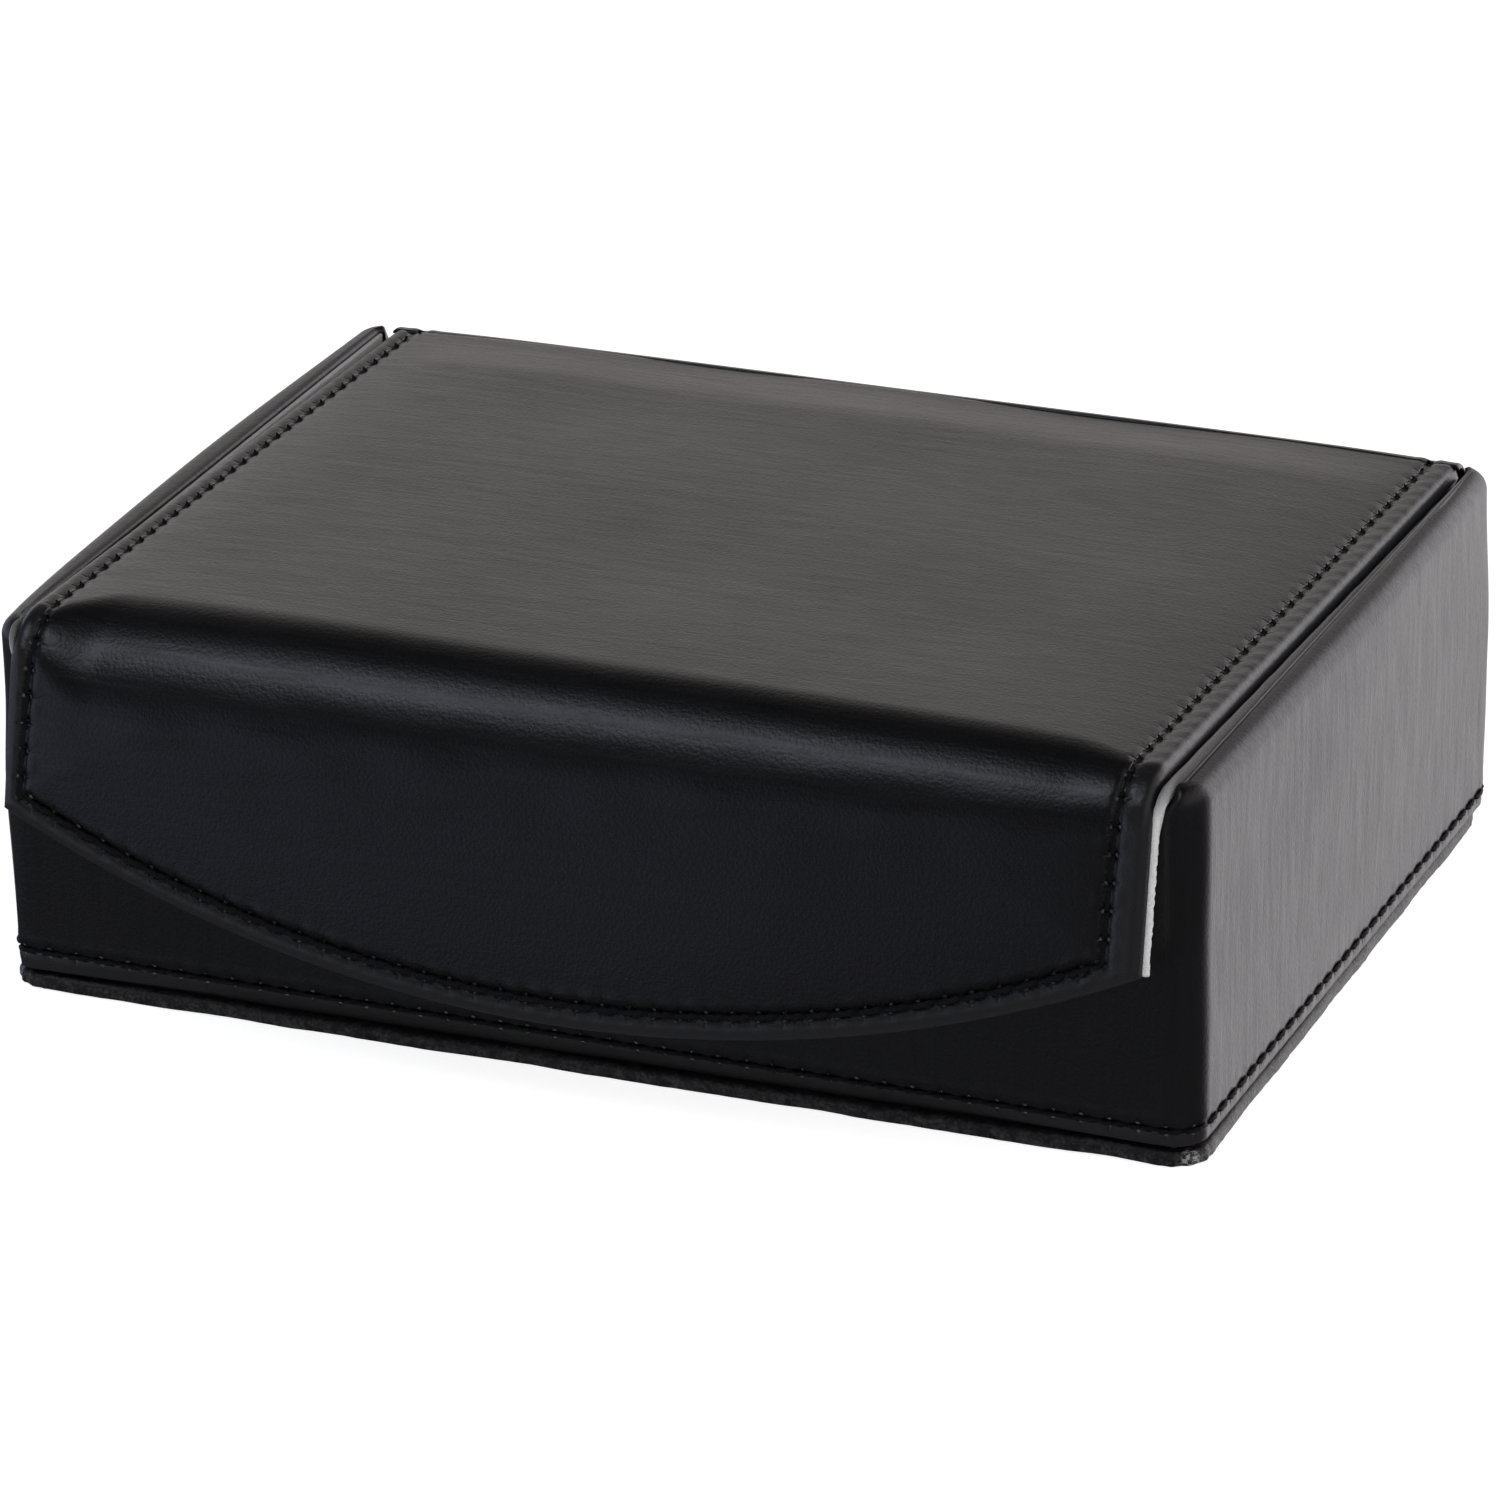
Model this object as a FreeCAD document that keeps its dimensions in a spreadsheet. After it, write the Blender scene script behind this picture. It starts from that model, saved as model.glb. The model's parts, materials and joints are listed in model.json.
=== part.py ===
"""Poker chip case: a padded leatherette box with a flap lid, built as separate pieces.

Millimetres, +Z up. The origin is the middle of the underside, where the case rests.
X runs along the width, the flap is on the -Y side and the hinge on the +Y side.
"""
import FreeCAD
import Part
import Sketcher
import os
from FreeCAD import Placement, Rotation, Vector

DIMENSIONS = {
    # outer walls
    "case_width": 251.0,
    "case_depth": 182.8,
    "side_wall_top": 77.0,
    "front_wall_top": 73.6,
    "back_wall_top": 70.0,
    "corner_radius": 7.0,
    "top_radius": 4.0,
    "hem_height": 4.2,
    "back_panel_top": 71.0,
    # wall layers, from the outside in
    "leather": 1.0,
    "foam": 1.4,
    "board": 2.8,
    "lining": 0.8,
    "board_end_gap": 4.0,
    "board_top_gap": 2.0,
    # base panel
    "base_height": 3.0,
    "base_inset": 0.8,
    "base_radius": 9.0,
    "base_skin": 0.8,
    "base_board_inset": 4.0,
    # lid, seen from its hinge axis
    "hinge_y": 90.4,
    "hinge_z": 74.8,
    "lid_lift": 1.2,
    "lid_reach": 184.4,
    "lid_rear_gap": 3.8,
    "lid_front_gap": 8.0,
    "lining_front_gap": 4.1,
    "lid_top": 2.0,
    "lid_leather": 0.9,
    "lid_foam": 1.9,
    "lid_board": 2.4,
    "lid_lining": 1.2,
    "lid_width": 235.6,
    "lining_width": 237.2,
    "hinge_lining_height": 8.0,
    # flap, seen from its fold axis
    "flap_lean": 11.4,
    "flap_face": 2.0,
    "flap_leather": 0.9,
    "flap_foam": 0.9,
    "flap_board": 2.0,
    "flap_lining": 1.0,
    "flap_start": 12.0,
    "fold_bend_drop": 4.0,
    "flap_corner": 36.4,
    "flap_length": 62.8,
    # closure
    "magnet_radius": 6.0,
    "magnet_height": 1.6,
    "magnet_spacing": 60.0,
    "magnet_drop": 44.0,
    "strike_radius": 7.0,
    "strike_height": 1.0,
    "strike_level": 35.0,
    # chip tray
    "tray_clearance": 0.2,
    "riser_top": 23.8,
    "rack_top": 45.5,
    "rack_width": 87.4,
    "tray_end": 2.0,
    "tray_end_top": 50.0,
    "trough_level": 47.9,
    "trough_radius": 20.7,
    "trough_pitch": 43.4,
    "velvet": 0.5,
    "well_side": 2.2,
    "card_well": 91.0,
    "well_divider": 2.4,
    # thread lines
    "thread_width": 0.7,
    "thread_height": 0.35,
    "stitch_margin": 6.3,
    "flap_stitch_margin": 4.8,
    "hem_stitch_level": 7.7,
}

doc = FreeCAD.newDocument("poker_chip_case")
sheet = doc.addObject("Spreadsheet::Sheet", "Dims")
for row, (alias, number) in enumerate(DIMENSIONS.items(), start=1):
    sheet.set(f"A{row}", alias)
    sheet.set(f"B{row}", str(number))
    sheet.setAlias(f"B{row}", alias)
doc.recompute()

nodes = []


def size(expression):
    """The value in millimetres of an expression over the sheet's aliases."""
    result = sheet.evalExpression(expression)
    return float(getattr(result, "Value", result))


def named(expression):
    """The same expression written for another object, where aliases need the sheet's name."""
    for alias in sorted(DIMENSIONS, key=len, reverse=True):
        expression = expression.replace(alias, f"<{list(DIMENSIONS).index(alias)}>")
    for index, alias in enumerate(DIMENSIONS):
        expression = expression.replace(f"<{index}>", f"Dims.{alias}")
    return expression


def bind(item, prop, expression):
    item.setExpression(prop, named(expression))


def keep(item, label):
    """Mark an object as a finished piece that is written to its own file."""
    item.Label = label
    nodes.append(item)
    return item


def at(frame, x, y, z):
    """A placement at a corner given by three expressions inside a frame."""
    return frame.multiply(Placement(Vector(size(x), size(y), size(z)), Rotation()))


# Frames: the lid turns about its hinge axis, and the flap about the fold at the lid's front.
CASE = Placement()
LID = Placement(Vector(0, size("hinge_y"), size("hinge_z")), Rotation(Vector(1, 0, 0), -size("lid_lift")))
FLAP = LID.multiply(
    Placement(
        Vector(0, -size("lid_reach"), 0),
        Rotation(Vector(1, 0, 0), size("lid_lift") - size("flap_lean")),
    )
)


def block(name, frame, corner, extents):
    """A plain board, pad or sheet: a box whose three sizes follow the sheet."""
    item = doc.addObject("Part::Box", name)
    for prop, expression in zip(("Length", "Width", "Height"), extents):
        bind(item, prop, expression)
    item.Placement = at(frame, *corner)
    return item


def centred_block(name, frame, width, corner_y, corner_z, depth, height):
    """A block that is symmetric about the case's middle plane."""
    return block(name, frame, (f"-({width}) / 2", corner_y, corner_z), (width, depth, height))


def rod(name, placement, radius, height):
    item = doc.addObject("Part::Cylinder", name)
    bind(item, "Radius", radius)
    bind(item, "Height", height)
    item.Placement = placement
    return item


def cut(name, base, tool):
    item = doc.addObject("Part::Cut", name)
    item.Base = base
    item.Tool = tool
    return item


def fuse(name, *shapes):
    item = doc.addObject("Part::MultiFuse", name)
    item.Shapes = list(shapes)
    return item


def plane_of(body, role):
    return next(part for part in body.Origin.OriginFeatures if part.Role == role)


def sketch_on(body, name, role, offset):
    sketch = body.newObject("Sketcher::SketchObject", name)
    sketch.AttachmentSupport = [(plane_of(body, role), "")]
    sketch.MapMode = "FlatFace"
    sketch.AttachmentOffset = Placement(Vector(0, 0, offset), Rotation())
    return sketch


def add_rectangle(sketch, width, depth):
    """A rectangle centred on the sketch's origin, its two sizes bound to the sheet."""
    half_width = size(width) / 2
    half_depth = size(depth) / 2
    corners = [
        Vector(-half_width, -half_depth, 0),
        Vector(half_width, -half_depth, 0),
        Vector(half_width, half_depth, 0),
        Vector(-half_width, half_depth, 0),
    ]
    for index in range(4):
        sketch.addGeometry(Part.LineSegment(corners[index], corners[(index + 1) % 4]))
    for index in range(4):
        sketch.addConstraint(Sketcher.Constraint("Coincident", index, 2, (index + 1) % 4, 1))
        direction = "Horizontal" if index % 2 == 0 else "Vertical"
        sketch.addConstraint(Sketcher.Constraint(direction, index))
    sketch.addConstraint(Sketcher.Constraint("Symmetric", 0, 1, 2, 1, -1, 1))
    sketch.addConstraint(Sketcher.Constraint("DistanceX", 0, 1, 0, 2, 2 * half_width))
    sketch.renameConstraint(sketch.ConstraintCount - 1, "width")
    sketch.addConstraint(Sketcher.Constraint("DistanceY", 1, 1, 1, 2, 2 * half_depth))
    sketch.renameConstraint(sketch.ConstraintCount - 1, "depth")
    bind(sketch, "Constraints.width", width)
    bind(sketch, "Constraints.depth", depth)


def pad(body, sketch, length):
    feature = body.newObject("PartDesign::Pad", sketch.Name + "_pad")
    feature.Profile = sketch
    bind(feature, "Length", length)
    doc.recompute()
    return feature


def round_edges(body, feature, name, radius, wanted):
    """Round the edges of a feature for which wanted(edge) is true."""
    edges = [f"Edge{i}" for i, edge in enumerate(feature.Shape.Edges, start=1) if wanted(edge)]
    fillet = body.newObject("PartDesign::Fillet", name)
    fillet.Base = (feature, edges)
    bind(fillet, "Radius", radius)
    doc.recompute()
    return fillet


def is_upright(edge):
    box = edge.BoundBox
    return box.ZLength > 0.1 and box.XLength < 0.01 and box.YLength < 0.01


def rounded_block(name, width, depth, bottom, height, upright_radius, top_radius=None):
    """An upright block with rounded corners and, if asked for, a rounded top rim."""
    body = doc.addObject("PartDesign::Body", name)
    sketch = sketch_on(body, name + "_outline", "XY_Plane", size(bottom))
    add_rectangle(sketch, width, depth)
    feature = pad(body, sketch, height)
    feature = round_edges(body, feature, name + "_corners", upright_radius, is_upright)
    if top_radius:
        level = size(f"{bottom} + {height}")
        round_edges(
            body,
            feature,
            name + "_rim",
            top_radius,
            lambda edge: abs(edge.BoundBox.ZMin - level) < 0.01 and edge.BoundBox.ZLength < 0.01,
        )
    return body


# Sizes that several pieces share, as expressions over the sheet.
SKIN = "(leather + foam)"
CORE = "(leather + foam + board)"
WALL = "(leather + foam + board + lining)"
INNER_WIDTH = f"(case_width - 2 * {WALL})"
INNER_DEPTH = f"(case_depth - 2 * {WALL})"


def build_base():
    cover = rounded_block(
        "base_cover_block",
        "case_width - 2 * base_inset",
        "case_depth - 2 * base_inset",
        "0 * base_height",
        "base_height",
        "base_radius",
    )
    width = "(case_width - 2 * base_board_inset)"
    depth = "(case_depth - 2 * base_board_inset)"
    height = "base_height - base_skin"
    pocket = centred_block("base_pocket", CASE, width, f"-{depth} / 2", "base_skin", depth, height)
    keep(cut("base_cover", cover, pocket), "base_cover")
    board = centred_block("base_board", CASE, width, f"-{depth} / 2", "base_skin", depth, height)
    keep(board, "base_board")


def build_end_wall(side, direction, top):
    """The layers under the leather of the front (-1) or back (+1) wall."""
    face = "case_depth / 2"

    def layer(name, outside, thickness, width, bottom, upper):
        start = f"-{face} + {outside}" if direction < 0 else f"{face} - {outside} - {thickness}"
        return centred_block(name, CASE, width, start, bottom, thickness, f"{upper} - {bottom}")

    under_cap = f"({top} - leather)"
    keep(layer(f"{side}_wall_board", SKIN, "board", f"(case_width - 2 * {CORE})", "base_height", under_cap),
         f"{side}_wall_board")
    keep(layer(f"{side}_wall_lining", CORE, "lining", INNER_WIDTH, "base_height", under_cap),
         f"{side}_wall_lining")
    return layer(f"{side}_foam_blank", "leather", "foam", "(case_width - 2 * corner_radius)",
                 "hem_height", f"({top} - leather - 2 * foam)")


def build_side_wall(side, direction):
    """The layers under the leather of the left (-1) or right (+1) wall."""
    face = "case_width / 2"

    def layer(name, outside, thickness, depth, bottom, upper):
        start = f"-{face} + {outside}" if direction < 0 else f"{face} - {outside} - {thickness}"
        extents = (thickness, depth, f"{upper} - {bottom}")
        return keep(block(name, CASE, (start, f"-({depth}) / 2", bottom), extents), name)

    board_depth = f"(case_depth - 2 * {SKIN} - board_end_gap)"
    layer(f"{side}_wall_board", SKIN, "board", board_depth, "base_height", "(side_wall_top - board_top_gap)")
    layer(f"{side}_wall_lining", CORE, "lining", INNER_DEPTH, "base_height", "(side_wall_top - leather)")
    layer(f"{side}_wall_foam", "leather", "foam", "(case_depth - 2 * corner_radius)",
          "hem_height", "(side_wall_top - top_radius - leather / 2)")


def build_closure(front_foam):
    """Steel discs behind the front leather, let into the foam, for the flap's magnets."""
    discs = []
    holes = []
    turned = Rotation(Vector(1, 0, 0), -90)
    for sign in (-1, 1):
        x = sign * size("magnet_spacing / 2")
        y = -size("case_depth / 2 - leather")
        place = Placement(Vector(x, y, size("strike_level")), turned)
        discs.append(rod("strike_disc", place, "strike_radius", "strike_height"))
        holes.append(rod("strike_hole", place, "strike_radius", "foam"))
    keep(cut("front_wall_foam_pad", front_foam, fuse("strike_holes", *holes)), "front_wall_foam")
    keep(fuse("strike_plates", *discs), "strike_plates")


def build_wall_leather():
    """One sheet round all four walls, turned in over their tops. The side walls stand higher."""
    height = "side_wall_top - hem_height"
    outer = rounded_block(
        "leather_outside", "case_width", "case_depth", "hem_height", height, "corner_radius", "top_radius"
    )
    inner = rounded_block(
        "leather_inside",
        "case_width - 2 * leather",
        "case_depth - 2 * leather",
        "hem_height",
        "side_wall_top - hem_height - leather",
        "corner_radius - leather",
        "top_radius - leather",
    )
    shell = cut("leather_shell", outer, inner)
    mouth = centred_block(
        "leather_mouth", CASE, INNER_WIDTH, f"-{INNER_DEPTH} / 2", "hem_height", INNER_DEPTH, "side_wall_top"
    )
    front_gap = centred_block(
        "front_gap", CASE, INNER_WIDTH, "-case_depth", "front_wall_top", "case_depth", "side_wall_top"
    )
    back_gap = centred_block("back_gap", CASE, INNER_WIDTH, "0", "back_wall_top", "case_depth", "side_wall_top")
    opened = cut("leather_opened", shell, fuse("leather_gaps", mouth, front_gap, back_gap))
    turn_in_depth = "board + lining + foam"
    front_cap = centred_block(
        "front_turn_in", CASE, INNER_WIDTH, "-case_depth / 2 + leather", "front_wall_top - leather",
        turn_in_depth, "leather"
    )
    back_cap = centred_block(
        "back_turn_in", CASE, INNER_WIDTH, f"{INNER_DEPTH} / 2", "back_wall_top - leather",
        turn_in_depth, "leather"
    )
    keep(fuse("wall_leather", opened, front_cap, back_cap), "wall_leather")


def build_back_panel():
    """The lid's leather runs on down the back wall, where it is glued and stitched."""
    panel = centred_block(
        "back_panel_leather", CASE, "lid_width", "case_depth / 2", "hem_height",
        "leather", "back_panel_top - hem_height"
    )
    keep(panel, "back_panel_leather")


def build_tray():
    """A glued-in tray: two racks of two chip rows, with a card well and a dice well between."""
    width = f"({INNER_WIDTH} - 2 * tray_clearance)"
    depth = f"({INNER_DEPTH} - 2 * tray_clearance)"
    riser_height = "riser_top - base_height"
    keep(centred_block("tray_riser", CASE, width, f"-{depth} / 2", "base_height", depth, riser_height),
         "tray_riser")
    end_height = "tray_end_top - riser_top"
    keep(centred_block("front_tray_end", CASE, width, f"-{depth} / 2", "riser_top", "tray_end", end_height),
         "front_tray_end")
    keep(centred_block("back_tray_end", CASE, width, f"{depth} / 2 - tray_end", "riser_top", "tray_end",
                       end_height), "back_tray_end")
    length = f"({depth} - 2 * tray_end)"
    build_rack("left", f"-{width} / 2", length)
    build_rack("right", f"{width} / 2 - rack_width", length)
    build_wells(width, length)


def build_rack(side, start, length):
    """A rack block with two half-round troughs, and the velvet laid over it."""
    low_y = f"-{length} / 2"
    along = Rotation(Vector(1, 0, 0), -90)
    middle = size(f"{start} + rack_width / 2")

    def grooved(name, height, radius):
        body = block(name + "_block", CASE, (start, low_y, "riser_top"), ("rack_width", length, height))
        troughs = []
        for sign in (-1, 1):
            x = middle + sign * size("trough_pitch / 2")
            place = Placement(Vector(x, size(low_y), size("trough_level")), along)
            troughs.append(rod(name + "_trough", place, radius, length))
        return cut(name, body, fuse(name + "_troughs", *troughs))

    rack = grooved(f"{side}_chip_rack", "rack_top - riser_top", "trough_radius")
    keep(rack, f"{side}_chip_rack")
    covered = grooved(f"{side}_velvet_outside", "rack_top - riser_top + velvet", "trough_radius - velvet")
    keep(cut(f"{side}_rack_velvet", covered, rack), f"{side}_rack_velvet")


def build_wells(width, length):
    """The card well at the front and the dice well behind it, between the two racks."""
    half_well = f"({width} / 2 - rack_width - well_side)"
    low_y = f"-{length} / 2"
    height = "rack_top - riser_top"
    side_extents = ("well_side", length, height)
    keep(block("left_well_side", CASE, (f"-{half_well} - well_side", low_y, "riser_top"), side_extents),
         "left_well_side")
    keep(block("right_well_side", CASE, (half_well, low_y, "riser_top"), side_extents), "right_well_side")
    well = f"(2 * {half_well})"
    keep(centred_block("well_divider", CASE, well, f"{low_y} + card_well", "riser_top", "well_divider",
                       height), "well_divider")
    keep(centred_block("card_well_velvet", CASE, well, low_y, "riser_top", "card_well", "velvet"),
         "card_well_velvet")
    keep(centred_block("dice_well_velvet", CASE, well, f"{low_y} + card_well + well_divider", "riser_top",
                       f"{length} - card_well - well_divider", "velvet"), "dice_well_velvet")


def build_lid():
    """Four flat layers between the hinge and the front fold, from the leather down."""
    layers = (
        ("lid_leather", "lid_width", "lid_front_gap"),
        ("lid_foam", "lid_width - 2 * lid_leather", "lid_front_gap"),
        ("lid_board", "lid_width - 2 * lid_leather", "lid_front_gap"),
        ("lid_lining", "lining_width", "lining_front_gap"),
    )
    under = "lid_top"
    for name, width, front_gap in layers:
        under = f"{under} - {name}"
        start = f"-lid_reach + {front_gap}"
        length = f"lid_reach - lid_rear_gap - {front_gap}"
        keep(centred_block(name + "_layer", LID, f"({width})", start, under, length, name), name)


def flap_layer(name, outside, thickness, half_margin, holes=False):
    """A flap layer: straight sides and a round lower edge, padded outwards from its inner face."""
    body = doc.addObject("PartDesign::Body", name + "_body")
    inner_face = f"(-flap_face + {outside} + {thickness})"
    sketch = sketch_on(body, name + "_outline", "XZ_Plane", -size(inner_face))
    width = f"(lid_width - 2 * {half_margin})"
    half_width = size(width) / 2
    top = size("flap_start")
    corner = size(f"flap_corner - {half_margin} / 2")
    rise = f"(flap_length - flap_corner - {half_margin} / 2)"
    radius = f"(({width} / 2) ^ 2 + {rise} ^ 2) / (2 * {rise})"
    centre_z = -size(f"flap_length - {half_margin}") + size(radius)
    top_edge = Part.LineSegment(Vector(-half_width, -top, 0), Vector(half_width, -top, 0))
    right_edge = Part.LineSegment(Vector(half_width, -top, 0), Vector(half_width, -corner, 0))
    left_edge = Part.LineSegment(Vector(-half_width, -corner, 0), Vector(-half_width, -top, 0))
    bottom = Part.Arc(
        Vector(-half_width, -corner, 0),
        Vector(0, centre_z - size(radius), 0),
        Vector(half_width, -corner, 0),
    )
    for edge in (top_edge, right_edge, bottom, left_edge):
        sketch.addGeometry(edge)
    constraints = [
        Sketcher.Constraint("Coincident", 0, 2, 1, 1),
        Sketcher.Constraint("Coincident", 1, 2, 2, 2),
        Sketcher.Constraint("Coincident", 2, 1, 3, 1),
        Sketcher.Constraint("Coincident", 3, 2, 0, 1),
        Sketcher.Constraint("Vertical", 1),
        Sketcher.Constraint("Vertical", 3),
        Sketcher.Constraint("Symmetric", 0, 1, 0, 2, -2),
        Sketcher.Constraint("PointOnObject", 2, 3, -2),
    ]
    sketch.addConstraint(constraints)
    driven = (
        ("width", Sketcher.Constraint("DistanceX", 0, 1, 0, 2, 2 * half_width), width),
        ("start", Sketcher.Constraint("DistanceY", 0, 1, -1, 1, top), "flap_start"),
        ("corner", Sketcher.Constraint("DistanceY", 3, 1, -1, 1, corner), f"flap_corner - {half_margin} / 2"),
        ("sweep", Sketcher.Constraint("Radius", 2, size(radius)), radius),
    )
    for label, constraint, expression in driven:
        sketch.addConstraint(constraint)
        sketch.renameConstraint(sketch.ConstraintCount - 1, label)
        bind(sketch, f"Constraints.{label}", expression)
    feature = pad(body, sketch, thickness)
    if holes:
        cut_magnet_seats(body, feature, name, inner_face, thickness)
    body.Placement = FLAP
    return body


def cut_magnet_seats(body, feature, name, inner_face, thickness):
    """Two round seats through the flap board for the magnets."""
    before = feature.Shape.Volume
    sketch = sketch_on(body, name + "_seats", "XZ_Plane", -size(inner_face))
    for sign in (-1, 1):
        centre = Vector(sign * size("magnet_spacing / 2"), -size("magnet_drop"), 0)
        index = sketch.addGeometry(Part.Circle(centre, Vector(0, 0, 1), size("magnet_radius")))
        label = "left_seat" if sign < 0 else "right_seat"
        sketch.addConstraint(Sketcher.Constraint("Radius", index, size("magnet_radius")))
        sketch.renameConstraint(sketch.ConstraintCount - 1, label)
        bind(sketch, f"Constraints.{label}", "magnet_radius")
    pocket = body.newObject("PartDesign::Pocket", name + "_pocket")
    pocket.Profile = sketch
    pocket.Reversed = True
    bind(pocket, "Length", thickness)
    doc.recompute()
    if pocket.Shape.Volume >= before:
        raise RuntimeError("the magnet seats cut nothing from the flap board")


def build_flap():
    keep(flap_layer("flap_leather", "0 * flap_leather", "flap_leather", "0 * flap_leather"), "flap_leather")
    keep(flap_layer("flap_foam", "flap_leather", "flap_foam", "lid_leather"), "flap_foam")
    under_foam = "(flap_leather + flap_foam)"
    keep(flap_layer("flap_board", under_foam, "flap_board", "lid_leather", holes=True), "flap_board")
    under_board = "(flap_leather + flap_foam + flap_board)"
    keep(flap_layer("flap_lining", under_board, "flap_lining", "(lid_width - lining_width) / 2"),
         "flap_lining")
    turned = Rotation(Vector(1, 0, 0), 90)
    magnets = []
    for sign in (-1, 1):
        seat = Vector(
            sign * size("magnet_spacing / 2"), size(f"-flap_face + {under_board}"), -size("magnet_drop")
        )
        place = FLAP.multiply(Placement(seat, turned))
        magnets.append(rod("flap_magnet", place, "magnet_radius", "magnet_height"))
    keep(fuse("flap_magnets", *magnets), "flap_magnets")


def strip_across(label, profile, width):
    """A bent strip of leather or lining across a fold, from the outline of its section."""
    edges = []
    for start, end, middle in profile:
        curve = Part.Arc(start, middle, end) if middle else Part.LineSegment(start, end)
        edges.append(curve.toShape())
    face = Part.Face(Part.Wire(edges))
    shape = face.extrude(Vector(width, 0, 0))
    item = doc.addObject("Part::Feature", label)
    item.Shape = shape
    item.Placement = Placement(Vector(-width / 2, 0, 0), Rotation())
    return keep(item, label)


def tangent_arc_middle(start, direction, end):
    """Midpoint of the arc that leaves start along direction and ends at end."""
    chord = end.sub(start)
    normal = Vector(0, -direction.z, direction.y)
    radius = chord.dot(chord) / (2 * chord.dot(normal))
    centre = start.add(normal.multiply(radius))
    towards = start.add(end).multiply(0.5).sub(centre)
    return centre.add(towards.normalize().multiply(abs(radius)))


def build_folds():
    """The bent strips that join case to lid and lid to flap."""
    lid_forward = LID.Rotation.multVec(Vector(0, -1, 0))
    lid_back = LID.Rotation.multVec(Vector(0, 1, 0))
    down = Vector(0, 0, -1)

    # outer leather over the front fold
    front_y = -size("lid_reach - lid_front_gap")
    top_out = LID.multVec(Vector(0, front_y, size("lid_top")))
    top_in = LID.multVec(Vector(0, front_y, size("lid_top - lid_leather")))
    flap_out = FLAP.multVec(Vector(0, -size("flap_face"), -size("flap_start")))
    flap_in = FLAP.multVec(Vector(0, -size("flap_face - flap_leather"), -size("flap_start")))
    bend_drop = size("fold_bend_drop")
    bend_out = FLAP.multVec(Vector(0, -size("flap_face"), -bend_drop))
    bend_in = FLAP.multVec(Vector(0, -size("flap_face - flap_leather"), -bend_drop))
    strip_across(
        "front_fold_leather",
        [
            (top_out, bend_out, tangent_arc_middle(top_out, lid_forward, bend_out)),
            (bend_out, flap_out, None),
            (flap_out, flap_in, None),
            (flap_in, bend_in, None),
            (bend_in, top_in, tangent_arc_middle(top_in, lid_forward, bend_in)),
            (top_in, top_out, None),
        ],
        size("lid_width"),
    )

    # velvet strip inside the front fold
    lining_y = -size("lid_reach - lining_front_gap")
    lid_under = "lid_top - lid_leather - lid_foam - lid_board"
    inner = "-flap_face + flap_leather + flap_foam + flap_board"
    lid_upper = LID.multVec(Vector(0, lining_y, size(lid_under)))
    lid_lower = LID.multVec(Vector(0, lining_y, size(f"{lid_under} - lid_lining")))
    flap_upper = FLAP.multVec(Vector(0, size(inner), -size("flap_start")))
    flap_lower = FLAP.multVec(Vector(0, size(f"{inner} + flap_lining"), -size("flap_start")))
    strip_across(
        "front_fold_lining",
        [
            (lid_upper, flap_upper, tangent_arc_middle(lid_upper, lid_forward, flap_upper)),
            (flap_upper, flap_lower, None),
            (flap_lower, lid_lower, tangent_arc_middle(lid_lower, lid_forward, flap_lower)),
            (lid_lower, lid_upper, None),
        ],
        size("lining_width"),
    )

    # outer leather over the rear hinge
    rear_y = -size("lid_rear_gap")
    rear_out = LID.multVec(Vector(0, rear_y, size("lid_top")))
    rear_in = LID.multVec(Vector(0, rear_y, size("lid_top - lid_leather")))
    wall_level = size("back_panel_top")
    wall_out = Vector(0, size("case_depth / 2 + leather"), wall_level)
    wall_in = Vector(0, size("case_depth / 2"), wall_level)
    strip_across(
        "rear_hinge_leather",
        [
            (rear_out, wall_out, tangent_arc_middle(rear_out, lid_back, wall_out)),
            (wall_out, wall_in, None),
            (wall_in, rear_in, tangent_arc_middle(rear_in, lid_back, wall_in)),
            (rear_in, rear_out, None),
        ],
        size("lid_width"),
    )

    # velvet strip inside the rear hinge: it hangs slack and pulls tight when the lid is open
    hang = centred_block(
        "rear_hinge_lining", CASE, INNER_WIDTH, f"{INNER_DEPTH} / 2 - lining",
        "back_wall_top - hinge_lining_height", "lining", "hinge_lining_height"
    )
    keep(hang, "rear_hinge_lining")


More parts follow.
